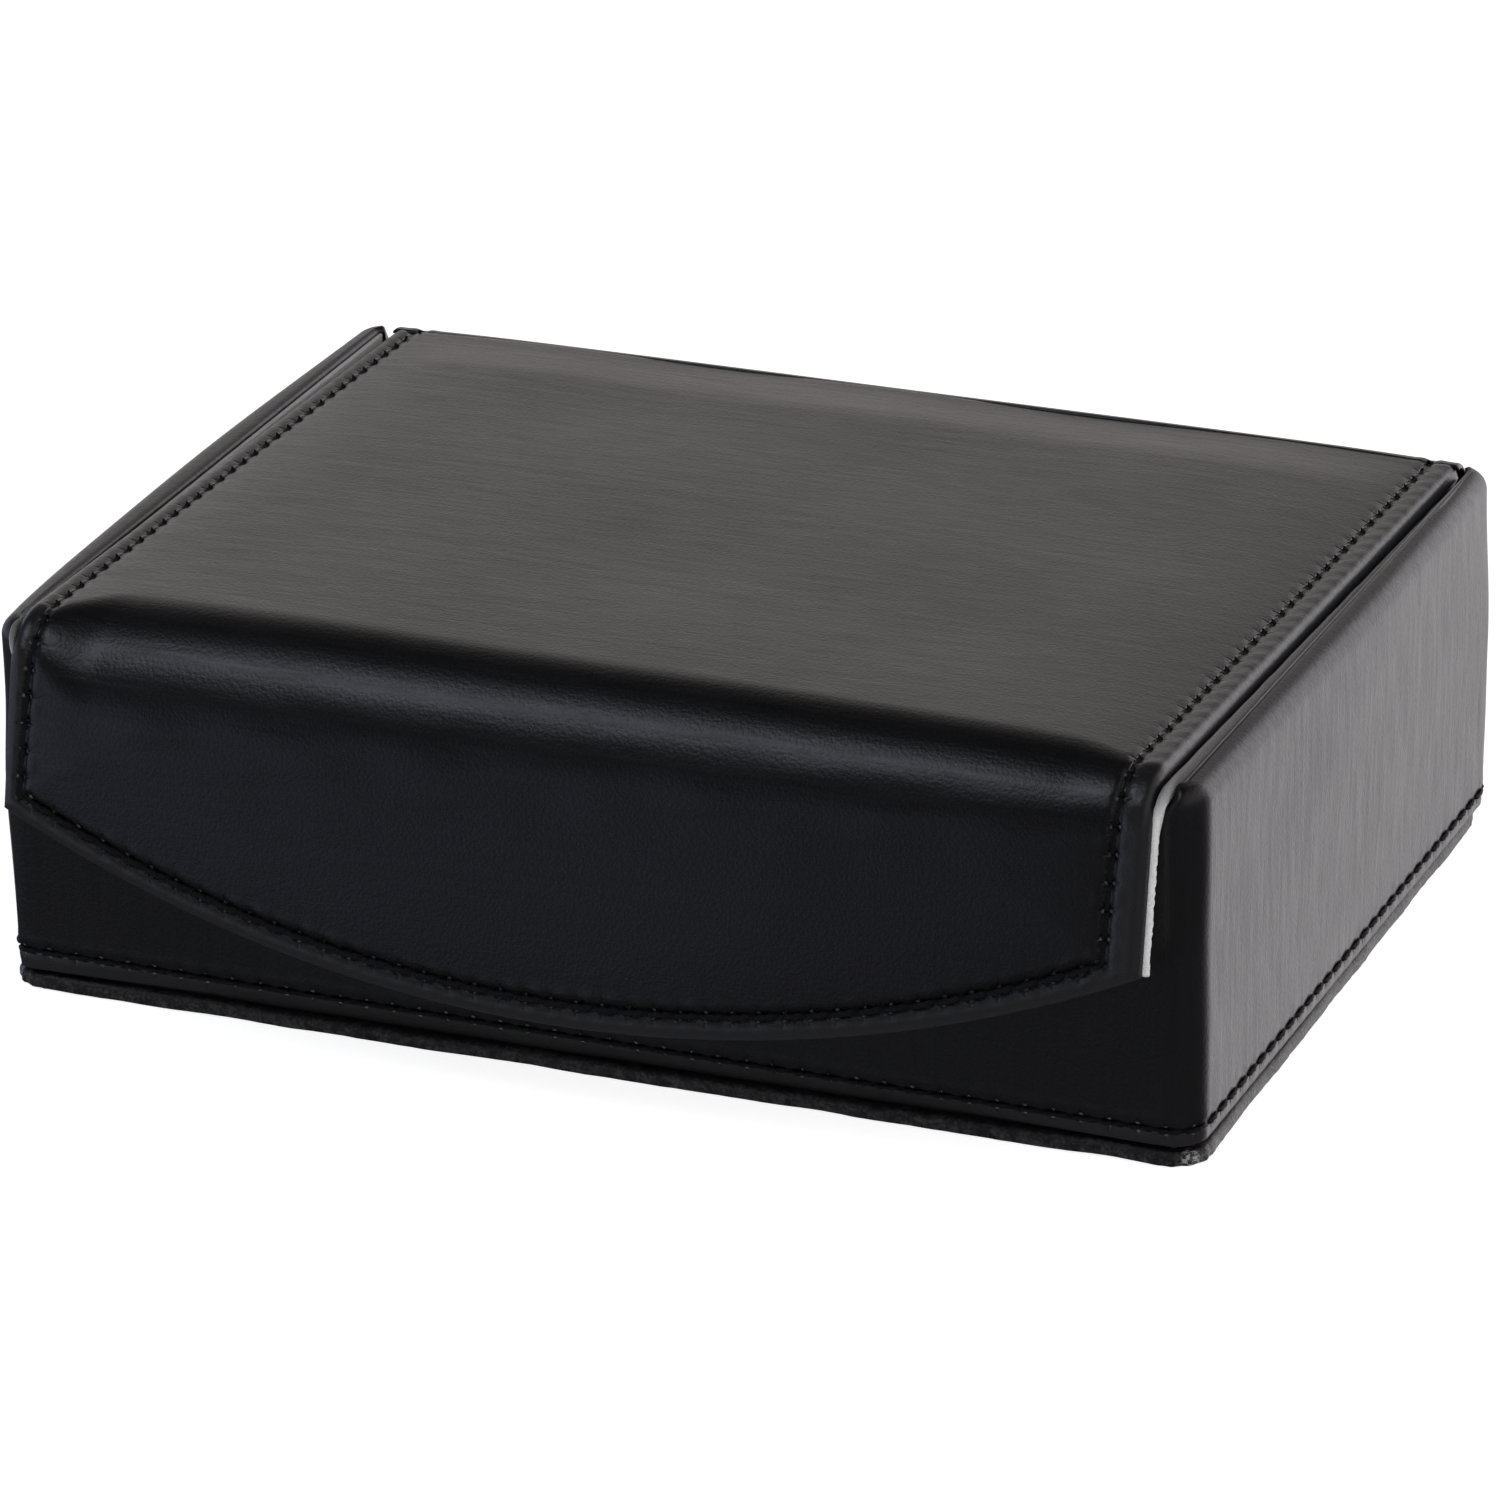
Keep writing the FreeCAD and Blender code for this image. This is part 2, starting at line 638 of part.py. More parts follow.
def build_threads():
    """The stitched lines along the lid's sides, round the flap, at the hem and on the back."""
    length = "(lid_reach - lid_rear_gap - lid_front_gap)"
    low_y = "-lid_reach + lid_front_gap"
    offset = "(lid_width / 2 - stitch_margin)"
    lines = []
    for sign in ("-1", "1"):
        corner = (f"{sign} * {offset} - thread_width / 2", low_y, "lid_top")
        lines.append(block("lid_thread", LID, corner, ("thread_width", length, "thread_height")))
    keep(fuse("lid_stitching", *lines), "lid_stitching")

    outer = flap_layer("thread_outside", "-thread_height", "thread_height", "flap_stitch_margin")
    inner = flap_layer(
        "thread_inside", "-thread_height", "thread_height", "(flap_stitch_margin + thread_width)"
    )
    middle = centred_block(
        "thread_gap", FLAP, "(lid_width - 2 * flap_stitch_margin - 2 * thread_width)",
        "-flap_face - 2 * thread_height", "-flap_start - 2 * thread_width",
        "3 * thread_height", "4 * thread_width"
    )
    keep(cut("flap_stitching", outer, fuse("thread_inner", inner, middle)), "flap_stitching")

    ring_outer = rounded_block(
        "hem_thread_outside", "case_width + 2 * thread_height", "case_depth + 2 * thread_height",
        "hem_stitch_level", "thread_width", "corner_radius + thread_height"
    )
    ring_inner = rounded_block(
        "hem_thread_inside", "case_width", "case_depth", "hem_stitch_level", "thread_width", "corner_radius"
    )
    back_gap = centred_block(
        "hem_thread_gap", CASE, "lid_width", "0", "hem_stitch_level", "case_depth", "thread_width"
    )
    keep(cut("hem_stitching", ring_outer, fuse("hem_thread_cuts", ring_inner, back_gap)), "hem_stitching")

    panel_face = "case_depth / 2 + leather"
    height = "back_panel_top - hem_stitch_level"
    uprights = []
    for sign in ("-1", "1"):
        corner = (f"{sign} * {offset} - thread_width / 2", panel_face, "hem_stitch_level")
        uprights.append(
            block("back_thread", CASE, corner, ("thread_width", "thread_height", height))
        )
    foot = centred_block(
        "back_foot_thread", CASE, f"(2 * {offset})", panel_face, "hem_stitch_level", "thread_height",
        "thread_width"
    )
    keep(fuse("back_stitching", *uprights, foot), "back_stitching")


def check(items):
    """Stop if any object failed or any piece is empty or invalid."""
    for item in doc.Objects:
        if "Invalid" in item.State or "Error" in item.State:
            raise RuntimeError(f"{item.Name} failed: {item.State}")
    for item in items:
        if item.Shape.isNull() or not item.Shape.isValid():
            raise RuntimeError(f"{item.Label} has no valid shape")
        if not item.Shape.Solids:
            raise RuntimeError(f"{item.Label} holds no solid")


build_base()
keep(build_end_wall("back", 1, "back_wall_top"), "back_wall_foam")
front_foam = build_end_wall("front", -1, "front_wall_top")
build_closure(front_foam)
build_side_wall("left", -1)
build_side_wall("right", 1)
build_wall_leather()
build_back_panel()
build_tray()
build_lid()
build_flap()
build_folds()
build_threads()
doc.recompute()
check(nodes)

os.makedirs("parts", exist_ok=True)
for node in nodes:
    node.Shape.exportStep(f"parts/{node.Label}.step")
    print(f"{node.Label}: {node.Shape.Volume:.0f} mm3, {len(node.Shape.Solids)} solids")
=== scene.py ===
"""Looks of the padded poker chip case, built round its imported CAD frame.

Lengths of the pieces are millimetres until scaled() turns them into the frame's metres; the
materials and the studio use metres.
The case opens towards -Y; its lid hinges at +Y and its flap folds down over the front wall.
"""
import bpy
import json
import numpy as np
from math import cos, pi, radians, sin, sqrt, tan
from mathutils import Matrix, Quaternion, Vector


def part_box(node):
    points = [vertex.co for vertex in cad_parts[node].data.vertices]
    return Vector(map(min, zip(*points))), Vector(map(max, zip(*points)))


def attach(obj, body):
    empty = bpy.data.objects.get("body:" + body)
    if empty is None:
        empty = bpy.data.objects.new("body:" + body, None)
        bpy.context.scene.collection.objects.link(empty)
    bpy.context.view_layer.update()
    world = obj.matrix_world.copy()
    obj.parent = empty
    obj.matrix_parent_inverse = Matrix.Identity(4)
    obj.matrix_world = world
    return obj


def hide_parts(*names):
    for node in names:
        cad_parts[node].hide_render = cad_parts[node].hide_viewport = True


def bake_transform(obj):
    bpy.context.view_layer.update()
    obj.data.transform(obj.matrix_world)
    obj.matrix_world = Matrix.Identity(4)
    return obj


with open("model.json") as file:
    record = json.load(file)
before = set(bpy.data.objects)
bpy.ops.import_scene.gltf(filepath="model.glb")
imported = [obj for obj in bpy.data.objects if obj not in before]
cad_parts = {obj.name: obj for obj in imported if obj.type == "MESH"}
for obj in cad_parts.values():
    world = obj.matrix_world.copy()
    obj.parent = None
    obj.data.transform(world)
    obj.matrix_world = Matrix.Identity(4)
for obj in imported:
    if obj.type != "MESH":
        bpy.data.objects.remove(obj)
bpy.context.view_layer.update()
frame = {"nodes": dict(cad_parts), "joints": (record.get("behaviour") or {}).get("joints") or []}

MM = 0.001

# Angles of the closed case
LID_LIFT = radians(1.2)
FLAP_LEAN = radians(11.4)
FRONT_TURN = pi / 2 - FLAP_LEAN + LID_LIFT
REAR_TURN = pi / 2 - LID_LIFT

# Sewing
FLAP_PITCH = 5.4
HEM_PITCH = 5.7
THREAD_RADIUS = 0.62
LID_GIRTH = 0.70
HEM_GIRTH = 0.75
LID_SEAM = 6.3
LEFT_SEAM = 4.9
LEFT_CORNER_SEAM = 3.9
FLAP_CORNER_SEAM = 7.4
FLAP_FOOT_SEAM = 4.8
CORNER_OVERRUN = 2.5
SEAM_REACH = 245.0
FOOT_STRETCH = 1.016
HEM_LEVEL = 8.05
HEM_DIP = 0.8
FAR_FROM_SEAM = 50.0
GROOVE_DEPTH = 0.62
SEAM_DEPTH = 0.30
REAR_SEAM_DEPTH = 0.35
HEM_SEAM_DEPTH = 0.40
HOLE_GAP = 0.03
STITCH_LIFT = 0.02
STITCH_SINK = 0.5
STITCH_SLANT = 0.12

# Lid cover: padded leather round the lid, the fold and the flap
ROLL_RADIUS = 2.3
FOLD_TIGHT = 12.0
FOLD_SOFT = 19.5
FOLD_SKEW = 3.2
FOLD_EDGE = 3.0
FOLD_SOFTENS = 16.0
LID_CROWN = 2.0
FLAP_CROWN = 1.6
CROWN_REACH = 13.0

# Walls
WALL_STEP = 1.42
WALL_CORNER = 7.0
RIGHT_FLARE = 0.9
LEFT_FLARE = 2.0
TOP_TUCK = 1.5
LEFT_LEAN = 1.5
RIGHT_LEAN = 1.2
WALL_THICKNESS = 5.2
END_ROLL = 1.6
SIDE_ROLL = 4.0
INNER_ROLL = 1.1
FOOT_TUCK = 1.5
BASE_CORNER = 9.0
BASE_FOOT_ROLL = 0.6
BASE_TOP_ROLL = 1.35


def corner(node, which):
    """One corner of a CAD node's box in millimetres; which is 0 for the lowest and 1 for the highest."""
    return np.array(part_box(node)[which]) / MM


def joint_place(name):
    """Y and Z of a joint's axis in millimetres."""
    joint = next(each for each in frame["joints"] if each["name"] == name)
    return joint["pos_m"][1] / MM, joint["pos_m"][2] / MM


HINGE_Y, HINGE_Z = joint_place("lid_hinge")
FOLD_Y, FOLD_Z = joint_place("flap_fold")

# Driving sizes, read from the frame
HALF_LID = corner("lid_leather", 1)[0]
HALF_LINING = corner("lid_lining", 1)[0]
HALF_WIDTH = corner("wall_leather", 1)[0]
HALF_DEPTH = corner("wall_leather", 1)[1]
SIDE_TOP = corner("wall_leather", 1)[2]
FRONT_TOP = corner("front_wall_lining", 1)[2] + 1.0
BACK_TOP = corner("back_wall_lining", 1)[2] + 1.0
WALL_FOOT = corner("wall_leather", 0)[2]
PANEL_FACE = corner("back_panel_leather", 1)[1]

# The lid's section is drawn in its own plane: "ahead" from its rear edge, "up" from the hinge axis.
LID_REAR_GAP = 3.8
LID_FACE = 2.0
FLAP_FACE = 2.0
LID_UNDER = -3.2
FLAP_UNDER = -1.8
LID_LINING_UNDER = -4.4
FLAP_LINING_UNDER = -2.8
FOLD_AHEAD = sqrt((HINGE_Y - FOLD_Y) ** 2 + (HINGE_Z - FOLD_Z) ** 2) - LID_REAR_GAP
FLAP_CORNER_DROP = 36.4
FLAP_FOOT_DROP = 62.8
FLAP_SAG = FLAP_FOOT_DROP - FLAP_CORNER_DROP
UNDER_BEND = 2.0
UNDER_INSET = 1.2

# Heights of the lid's rolled side edge and of the flap's, over their flat base
LID_EDGE = 2.6
FLAP_EDGE = 1.9


def scaled(points):
    return np.asarray(points, float) * MM


def smoothstep(low, high, value):
    share = np.clip((value - low) / (high - low), 0, 1)
    return share * share * (3 - 2 * share)


def ripple(x, y, seed, scale):
    """A smooth, repeatable unevenness between about -1 and 1: a few crossed waves."""
    random = np.random.default_rng(seed)
    total = np.zeros(np.broadcast(x, y).shape)
    for _ in range(6):
        angle, phase, stretch = random.uniform((0, 0, 0.6), (pi, 2 * pi, 1.7))
        total = total + np.sin((x * cos(angle) + y * sin(angle)) * 2 * pi / (scale * stretch) + phase)
    return total / 6 * 1.6


# -------- meshes


def grid_index(rows, columns, start=0):
    """Numbers of a grid's vertices, row by row."""
    return start + np.arange(rows * columns).reshape(rows, columns)


def grid_faces(rows, columns, start=0, wrap_rows=False, wrap_columns=False):
    """Quads of a grid of vertices numbered row by row."""
    index = grid_index(rows, columns, start)
    if wrap_rows:
        index = np.vstack([index, index[:1]])
    if wrap_columns:
        index = np.hstack([index, index[:, :1]])
    quads = np.stack([index[:-1, :-1], index[:-1, 1:], index[1:, 1:], index[1:, :-1]], axis=-1)
    return quads.reshape(-1, 4).tolist()


def tube_faces(sections, sides, start=0):
    """Quads round a tube, section by section, and last its two end caps."""
    end = start + sections * sides
    faces = grid_faces(sections, sides, start, wrap_columns=True)
    faces.append(list(range(start, start + sides)))
    faces.append(list(range(end - 1, end - 1 - sides, -1)))
    return faces


def signed_volume(vertices, faces):
    fans = [(face[0], face[k], face[k + 1]) for face in faces for k in range(1, len(face) - 1)]
    a, b, c = (vertices[each] for each in np.array(fans).T)
    return float((a * np.cross(b, c)).sum()) / 6


def make_piece(name, vertices, faces, material, flat_faces=()):
    """A smooth, closed mesh piece in the frame, with its faces turned outwards."""
    vertices = np.asarray(vertices, float).reshape(-1, 3)
    if signed_volume(vertices, faces) < 0:
        faces = [face[::-1] for face in faces]
    mesh = bpy.data.meshes.new(name)
    mesh.from_pydata(scaled(vertices).tolist(), [], faces)
    smooth = np.ones(len(faces), bool)
    smooth[list(flat_faces)] = False
    mesh.polygons.foreach_set("use_smooth", smooth)
    mesh.materials.append(material)
    mesh.validate()
    mesh.update()
    piece = bpy.data.objects.new(name, mesh)
    bpy.context.scene.collection.objects.link(piece)
    return piece


def outline(index):
    """The four sides of a grid of vertex numbers, in order round it."""
    sides = (index[0], index[:, -1], index[-1, ::-1], index[::-1, 0])
    return [side.tolist() for side in sides]


def pillow(name, front, back, material, stride=1):
    """A closed form between two grids that share an outline; the back one is coarser by stride."""
    back = back[::stride, ::stride]
    front_size, back_size = front.shape[:2], back.shape[:2]
    start = front_size[0] * front_size[1]
    faces = grid_faces(*front_size)
    faces += [face[::-1] for face in grid_faces(*back_size, start)]
    for fine, coarse in zip(outline(grid_index(*front_size)), outline(grid_index(*back_size, start))):
        for step in range(len(coarse) - 1):
            run = fine[step * stride:(step + 1) * stride + 1]
            faces.append(run[::-1] + [coarse[step], coarse[step + 1]])
    vertices = np.vstack([front.reshape(-1, 3), back.reshape(-1, 3)])
    return make_piece(name, vertices, faces, material)


def mark_seam(piece, across, along, pitch, heavy=0.0):
    """Store each vertex's place beside the nearest sewn line, which the leather's material reads."""
    count = len(piece.data.vertices)
    values = np.full((count, 3), FAR_FROM_SEAM)
    heavy = np.broadcast_to(heavy, across.shape)
    marked = np.stack([across.ravel(), along.ravel() / pitch, heavy.ravel()], axis=-1)
    values[:len(marked)] = marked
    attribute = piece.data.attributes.new("seam", "FLOAT_VECTOR", "POINT")
    attribute.data.foreach_set("vector", values.astype(np.float32).ravel())


def curl_places(roll):
    """Distances from an edge at which a rolled edge turns by equal angles."""
    return [roll * (1 - cos(angle)) for angle in np.linspace(0, pi / 2, 7)]


def edge_spacing(length, roll, fine_reach, fine_step, coarse_step):
    """Distances from one edge to the other: close together round the rolled edges."""
    start = curl_places(roll) + np.arange(roll + fine_step, fine_reach, fine_step).tolist()
    middle_count = max(2, int(round((length - 2 * start[-1]) / coarse_step)))
    middle = np.linspace(start[-1], length - start[-1], middle_count + 1)[1:-1].tolist()
    return np.array(start + middle + [length - each for each in reversed(start)])


def thinned(places, stride, at=None):
    """The places without those few at one index, or in the middle, that leave an unfinished stride."""
    while (len(places) - 1) % stride:
        places = np.delete(places, at or len(places) // 2)
    return places


def arc(centre, radius, first, last, count):
    """Points of an arc round a centre in a plane."""
    return [(centre[0] + radius * cos(angle), centre[1] + radius * sin(angle))
            for angle in np.linspace(first, last, count)]


def rounded_outline(half_x, half_y, radius, corner_steps, side_steps):
    """Points and outward normals round a rectangle with round corners, from the front right one.

    side_steps holds the number of steps along the sides in x and along the sides in y.
    """
    straight_x, straight_y = half_x - radius, half_y - radius
    points, normals = [], []
    for x, y, first in ((straight_x, -straight_y, -pi / 2), (straight_x, straight_y, 0.0),
                        (-straight_x, straight_y, pi / 2), (-straight_x, -straight_y, pi)):
        last = first + pi / 2
        points += arc((x, y), radius, first, last, corner_steps)
        normals += arc((0, 0), 1, first, last, corner_steps)
        ahead = np.array((-sin(last), cos(last)))
        in_y = int(abs(ahead[1]) > 0.5)
        run = 2 * (straight_x, straight_y)[in_y] * ahead
        corner_end = np.array(points[-1])
        for share in np.arange(1, side_steps[in_y]) / side_steps[in_y]:
            points.append(tuple(corner_end + run * share))
            normals.append(normals[-1])
    return np.array(points), np.array(normals)


def roll_drop(distance, radius, depth):
    """How far a rolled edge lies under the face, at a distance in from the outline."""
    share = np.clip(1 - distance / radius, 0, 1)
    return depth * (1 - np.sqrt(1 - share ** 2))


def hill(value, middle, width):
    """A smooth hill of height 1 round a middle value."""
    return np.exp(-((value - middle) / width) ** 2)


def fullness(inside, reach):
    """How full the padding is at a distance inside its seam, from 0 to 1."""
    return 1 - np.exp(-np.maximum(inside, 0) / reach)


def seam_relief(across, holes, strength=1.0):
    """Height of leather beside a sewn line; holes is the place along it in stitches."""
    hole = (0.5 + 0.5 * np.cos(2 * pi * holes)) ** 2
    groove = -GROOVE_DEPTH * (0.6 + 0.4 * hole) * hill(across, 0, 1.15)
    puff = 0.15 * (1 - hole) * hill(np.abs(across), 2.0, 1.0)
    pucker = -0.045 * np.cos(2 * pi * holes) * np.exp(-np.abs(across) / 3.0)
    return groove + strength * (puff + pucker)


# -------- lid, fold and flap


def bent_section(level, straight, radius, turn, along, raised):
    """Reach and height of a surface that runs straight at a level, bends down and runs straight on."""
    angle = np.clip((along - straight) / radius, 0, turn)
    down = np.maximum(along - straight - radius * turn, 0)
    reach = np.minimum(along, straight) + radius * np.sin(angle) + down * cos(turn)
    height = level - radius * (1 - np.cos(angle)) - down * sin(turn)
    return reach + raised * np.sin(angle), height + raised * np.cos(angle)


def from_lid_plane(local_y, up):
    """World Y and Z of a place in the lid's own plane, measured from the hinge axis."""
    return (
        HINGE_Y + local_y * cos(LID_LIFT) + up * sin(LID_LIFT),
        HINGE_Z - local_y * sin(LID_LIFT) + up * cos(LID_LIFT),
    )


def fold_start(lid_offset, flap_offset, radius):
    """Length along the lid at which its surface starts to bend."""
    apex = FOLD_AHEAD + (flap_offset - lid_offset * cos(FRONT_TURN)) / sin(FRONT_TURN)
    return apex - radius * tan(FRONT_TURN / 2)


def fold_point(lid_offset, flap_offset, radius, along, raised):
    """World points of a surface that runs flat along the lid, bends at the fold and goes down the flap.

    The offsets say how far it lies outside the axes of the hinge and the fold; along is measured
    from the lid's rear edge.
    """
    straight = fold_start(lid_offset, flap_offset, radius)
    ahead, up = bent_section(lid_offset, straight, radius, FRONT_TURN, along, raised)
    return from_lid_plane(-LID_REAR_GAP - ahead, up)


def fold_stations(lid_offset, flap_offset, radius, drop):
    """Lengths along the same surface where the bend starts and ends and where the flap's edge is."""
    straight = fold_start(lid_offset, flap_offset, radius)
    bend_end = straight + radius * FRONT_TURN
    rise = -(flap_offset * cos(FRONT_TURN) - lid_offset) / sin(FRONT_TURN)
    return straight, bend_end, bend_end + drop + rise - radius * tan(FRONT_TURN / 2)


def fold_rows(lid_count, bend_count, flap_count, foot_rows, stride):
    """Rows of a grid over lid, bend, flap and foot: shares of the way, and distances from the foot."""
    spare = (lid_count + bend_count + flap_count + len(foot_rows) - 1) % stride
    counts = (lid_count - spare, bend_count, flap_count)
    return [np.linspace(0, 1, count + 1)[:-1, None] for count in counts] + [foot_rows[::-1, None]]


def fold_grid(x_places, rows, stations):
    """A grid of (x, along) over lid, bend and flap, with rows that follow the flap's round edge."""
    bend_start, bend_end, foot = stations
    lid_rows, bend_rows, flap_rows, foot_rows = rows
    parts = [
        bend_start * lid_rows,
        bend_start + (bend_end - bend_start) * bend_rows,
        bend_end + (foot - foot_rows[0] - bend_end) * flap_rows,
        foot - foot_rows,
    ]
    along = np.vstack([np.broadcast_to(part, (len(part), len(x_places))) for part in parts])
    return np.broadcast_to(x_places, along.shape), along


def foot_sweep(half_width):
    """Radius of the flap's round lower edge."""
    return (half_width ** 2 + FLAP_SAG ** 2) / (2 * FLAP_SAG)


def foot_drop(x, half_width):
    """How far below the fold axis the flap's round lower edge lies."""
    sweep = foot_sweep(half_width)
    return FLAP_FOOT_DROP - sweep + np.sqrt(sweep ** 2 - np.minimum(np.abs(x), half_width) ** 2)


def foot_slope(x, half_width):
    """Cosine of that edge's slope, which turns a height above it into a distance from it."""
    return np.sqrt(1 - (x / foot_sweep(half_width)) ** 2)


def cover_radius(x):
    """The bend is tight at the sewn sides and soft where the padding is full."""
    soft = FOLD_SOFT - FOLD_SKEW * x / HALF_LID
    softness = smoothstep(FOLD_EDGE, FOLD_EDGE + FOLD_SOFTENS, HALF_LID - np.abs(x))
    return FOLD_TIGHT + (soft - FOLD_TIGHT) * softness


def side_seam_margin(x, along, bend_start, foot):
    """Distance of the side seam from the edge: narrow on the left, wider towards the flap's right corner."""
    down = smoothstep(0, 1, (along - bend_start) / (foot - bend_start))
    left = LEFT_SEAM + (LEFT_CORNER_SEAM - LEFT_SEAM) * down
    return np.where(x < 0, left, LID_SEAM + (FLAP_CORNER_SEAM - LID_SEAM) * down)


def cover_height(x, along):
    """Relief of the padded cover over its flat base, with three marks for each point.

    They are its distance inside the nearest sewn line, its place along it in stitches, and
    0 on the lid to 1 on the flap.
    """
    bend = cover_radius(x)
    bend_start, bend_end, foot = fold_stations(LID_FACE, FLAP_FACE, bend, foot_drop(x, HALF_LID))
    to_side = HALF_LID - np.abs(x)
    to_foot = (foot - along) * foot_slope(x, HALF_LID)
    flapness = smoothstep(0, 1, (along - bend_start) / (bend_end - bend_start))
    leftness = smoothstep(0, 1, -x / HALF_LID)

    side_seam = to_side - side_seam_margin(x, along, bend_start, foot)
    foot_seam = to_foot - FLAP_FOOT_SEAM
    across = np.minimum(side_seam, foot_seam)
    side_holes = (along - bend_start[..., :1]) / FLAP_PITCH
    holes = np.where(side_seam < foot_seam, side_holes, x * FOOT_STRETCH / FLAP_PITCH)

    crown = (LID_CROWN + (FLAP_CROWN - LID_CROWN) * flapness) * fullness(across, CROWN_REACH)
    crown = crown * (0.35 + 0.65 * smoothstep(0, 22, along))
    uneven = 0.6 + 0.7 * ripple(x, along, 8, 14)
    calm_left = 1 - 0.6 * (1 - flapness) * leftness
    relief = seam_relief(across, holes, (0.25 + 0.75 * flapness) * uneven * calm_left)

    edge = np.minimum(to_side, to_foot)
    drop = roll_drop(edge, ROLL_RADIUS, LID_EDGE + (FLAP_EDGE - LID_EDGE) * flapness)
    rim_wave = 0.06 * np.sin(2 * pi * holes + 0.6) * hill(edge, 2.6, 1.8) * (1 - 0.4 * leftness)
    waves = 0.28 * ripple(x, along, 3, 60) * fullness(across, 20)
    creases = 0.10 * ripple(x * 0.4, along, 5, 9) * hill(along, bend_end, 9)
    below_bend = smoothstep(8, 22, along - bend_end) * np.exp(-np.maximum(side_seam, 0) / 7)
    creases = creases + 0.07 * ripple(x * 0.25, along, 9, 2.4) * below_bend
    height = crown + relief - drop + rim_wave + waves + creases * (across > 0)
    return height, across, holes, flapness


def build_cover(material):
    """One padded leather cover round lid, fold and flap, closed underneath."""
    stride = 4
    spacing = edge_spacing(2 * HALF_LID, ROLL_RADIUS, fine_reach=13, fine_step=0.65, coarse_step=1.0)
    x_places = thinned(spacing - HALF_LID, stride, at=-2)
    foot_rows = np.array(curl_places(ROLL_RADIUS) + np.arange(ROLL_RADIUS + 0.6, 14, 0.6).tolist())
    rows = fold_rows(185, 32, 43, foot_rows, stride)
    drop = foot_drop(x_places, HALF_LID)
    soft_bend = cover_radius(x_places)
    x, along = fold_grid(x_places, rows, fold_stations(LID_FACE, FLAP_FACE, soft_bend, drop))
    height, across, holes, flapness = cover_height(x, along)
    front = np.stack([x, *fold_point(LID_FACE, FLAP_FACE, soft_bend, along, height)], axis=-1)
    x, along = fold_grid(x_places, rows, fold_stations(LID_UNDER, FLAP_UNDER, UNDER_BEND, drop))
    under = fold_point(LID_UNDER, FLAP_UNDER, UNDER_BEND, along, 0.0)
    narrow = HALF_LID - UNDER_INSET
    back = np.stack([np.clip(x, -narrow, narrow), *under], axis=-1)
    cover = pillow("lid_and_flap_cover", front, back, material, stride)
    mark_seam(cover, across, holes * FLAP_PITCH, FLAP_PITCH, flapness)
    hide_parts("lid_leather", "lid_foam", "front_fold_leather", "flap_leather", "flap_foam")
    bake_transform(cover)


# -------- rear hinge and back panel


REAR_RADIUS = 5.0
REAR_THICKNESS = 0.95


def rear_point(offset, along, raised=0.0):
    """World points of a surface that leaves the lid's rear edge, bends and goes down the back.

    offset is how far it lies inside the outer face; along starts at the lid's rear edge.
    """
    radius = REAR_RADIUS - offset
    lid_up = LID_FACE - offset
    apex = (PANEL_FACE - offset - HINGE_Y - lid_up * sin(LID_LIFT)) / cos(LID_LIFT) + LID_REAR_GAP
    straight = apex - radius * tan(REAR_TURN / 2)
    back, up = bent_section(lid_up, straight, radius, REAR_TURN, along, raised)
    return from_lid_plane(-LID_REAR_GAP + back, up)


def rear_foot(offset):
    """Length along the rear surface at which it reaches the wall's foot."""
    reach = 70.0
    level = rear_point(offset, np.array([reach]))[1][0]
    return reach + level - WALL_FOOT


def rear_height(x, along, foot):
    """Relief of the rear leather, and each point's place beside its sewn lines."""
    to_side = HALF_LID - np.abs(x)
    to_foot = foot - along
    side_seam = to_side - LID_SEAM
    foot_seam = to_foot - (HEM_LEVEL - WALL_FOOT)
    holes = np.where(side_seam < foot_seam, along, x) / FLAP_PITCH
    across = np.minimum(side_seam, foot_seam)
    swelling = 0.8 * (1 - smoothstep(0, 6, along)) * fullness(side_seam, CROWN_REACH)
    drop = roll_drop(np.minimum(to_side, to_foot), 1.0, 0.9)
    waves = 0.22 * ripple(x, along, 11, 45) * smoothstep(2, 16, along) * smoothstep(0, 8, side_seam)
    return seam_relief(across, holes) * 0.8 + swelling - drop + waves, across, holes


def build_rear(material):
    """The lid's leather over the rear hinge and down the back wall."""
    stride = 4
    spacing = edge_spacing(2 * HALF_LID, roll=1.0, fine_reach=12, fine_step=0.7, coarse_step=1.25)
    x_places = thinned(spacing - HALF_LID, stride)
    foot = rear_foot(0.0)
    hinge_zone, foot_zone = 12, 8
    rows = np.concatenate([
        np.linspace(0, hinge_zone, 20)[:-1],
        np.linspace(hinge_zone, foot - foot_zone, 41)[:-1],
        foot - np.linspace(foot_zone, 0, 16),
    ])
    x, along = np.meshgrid(x_places, thinned(rows, stride, at=30))
    height, across, holes = rear_height(x, along, foot)
    front = np.stack([x, *rear_point(0.0, along, height)], axis=-1)
    narrow = HALF_LID - 0.4
    inner = rear_point(REAR_THICKNESS, along * (rear_foot(REAR_THICKNESS) / foot))
    back = np.stack([np.clip(x, -narrow, narrow), *inner], axis=-1)
    cover = pillow("rear_hinge_and_back_panel", front, back, material, stride)
    mark_seam(cover, across, holes * FLAP_PITCH, FLAP_PITCH)
    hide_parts("rear_hinge_leather", "back_panel_leather")
    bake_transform(cover)


# -------- walls


def wall_path(step):
    """Points and outward normals round the outer face of the walls, with the length along it."""
    side_steps = [int(round(2 * (half - WALL_CORNER) / step)) for half in (HALF_WIDTH, HALF_DEPTH)]
    points, normals = rounded_outline(HALF_WIDTH, HALF_DEPTH, WALL_CORNER, 15, side_steps)
    back_middle = int(np.argmin(np.abs(points[:, 0]) - points[:, 1] * 10))
    points, normals = (np.roll(each, -back_middle, axis=0) for each in (points, normals))
    lengths = np.linalg.norm(np.diff(points, axis=0, append=points[:1]), axis=1)
    along = np.concatenate([[0], np.cumsum(lengths)[:-1]])
    return points, normals, along, lengths.sum() / round(lengths.sum() / HEM_PITCH)


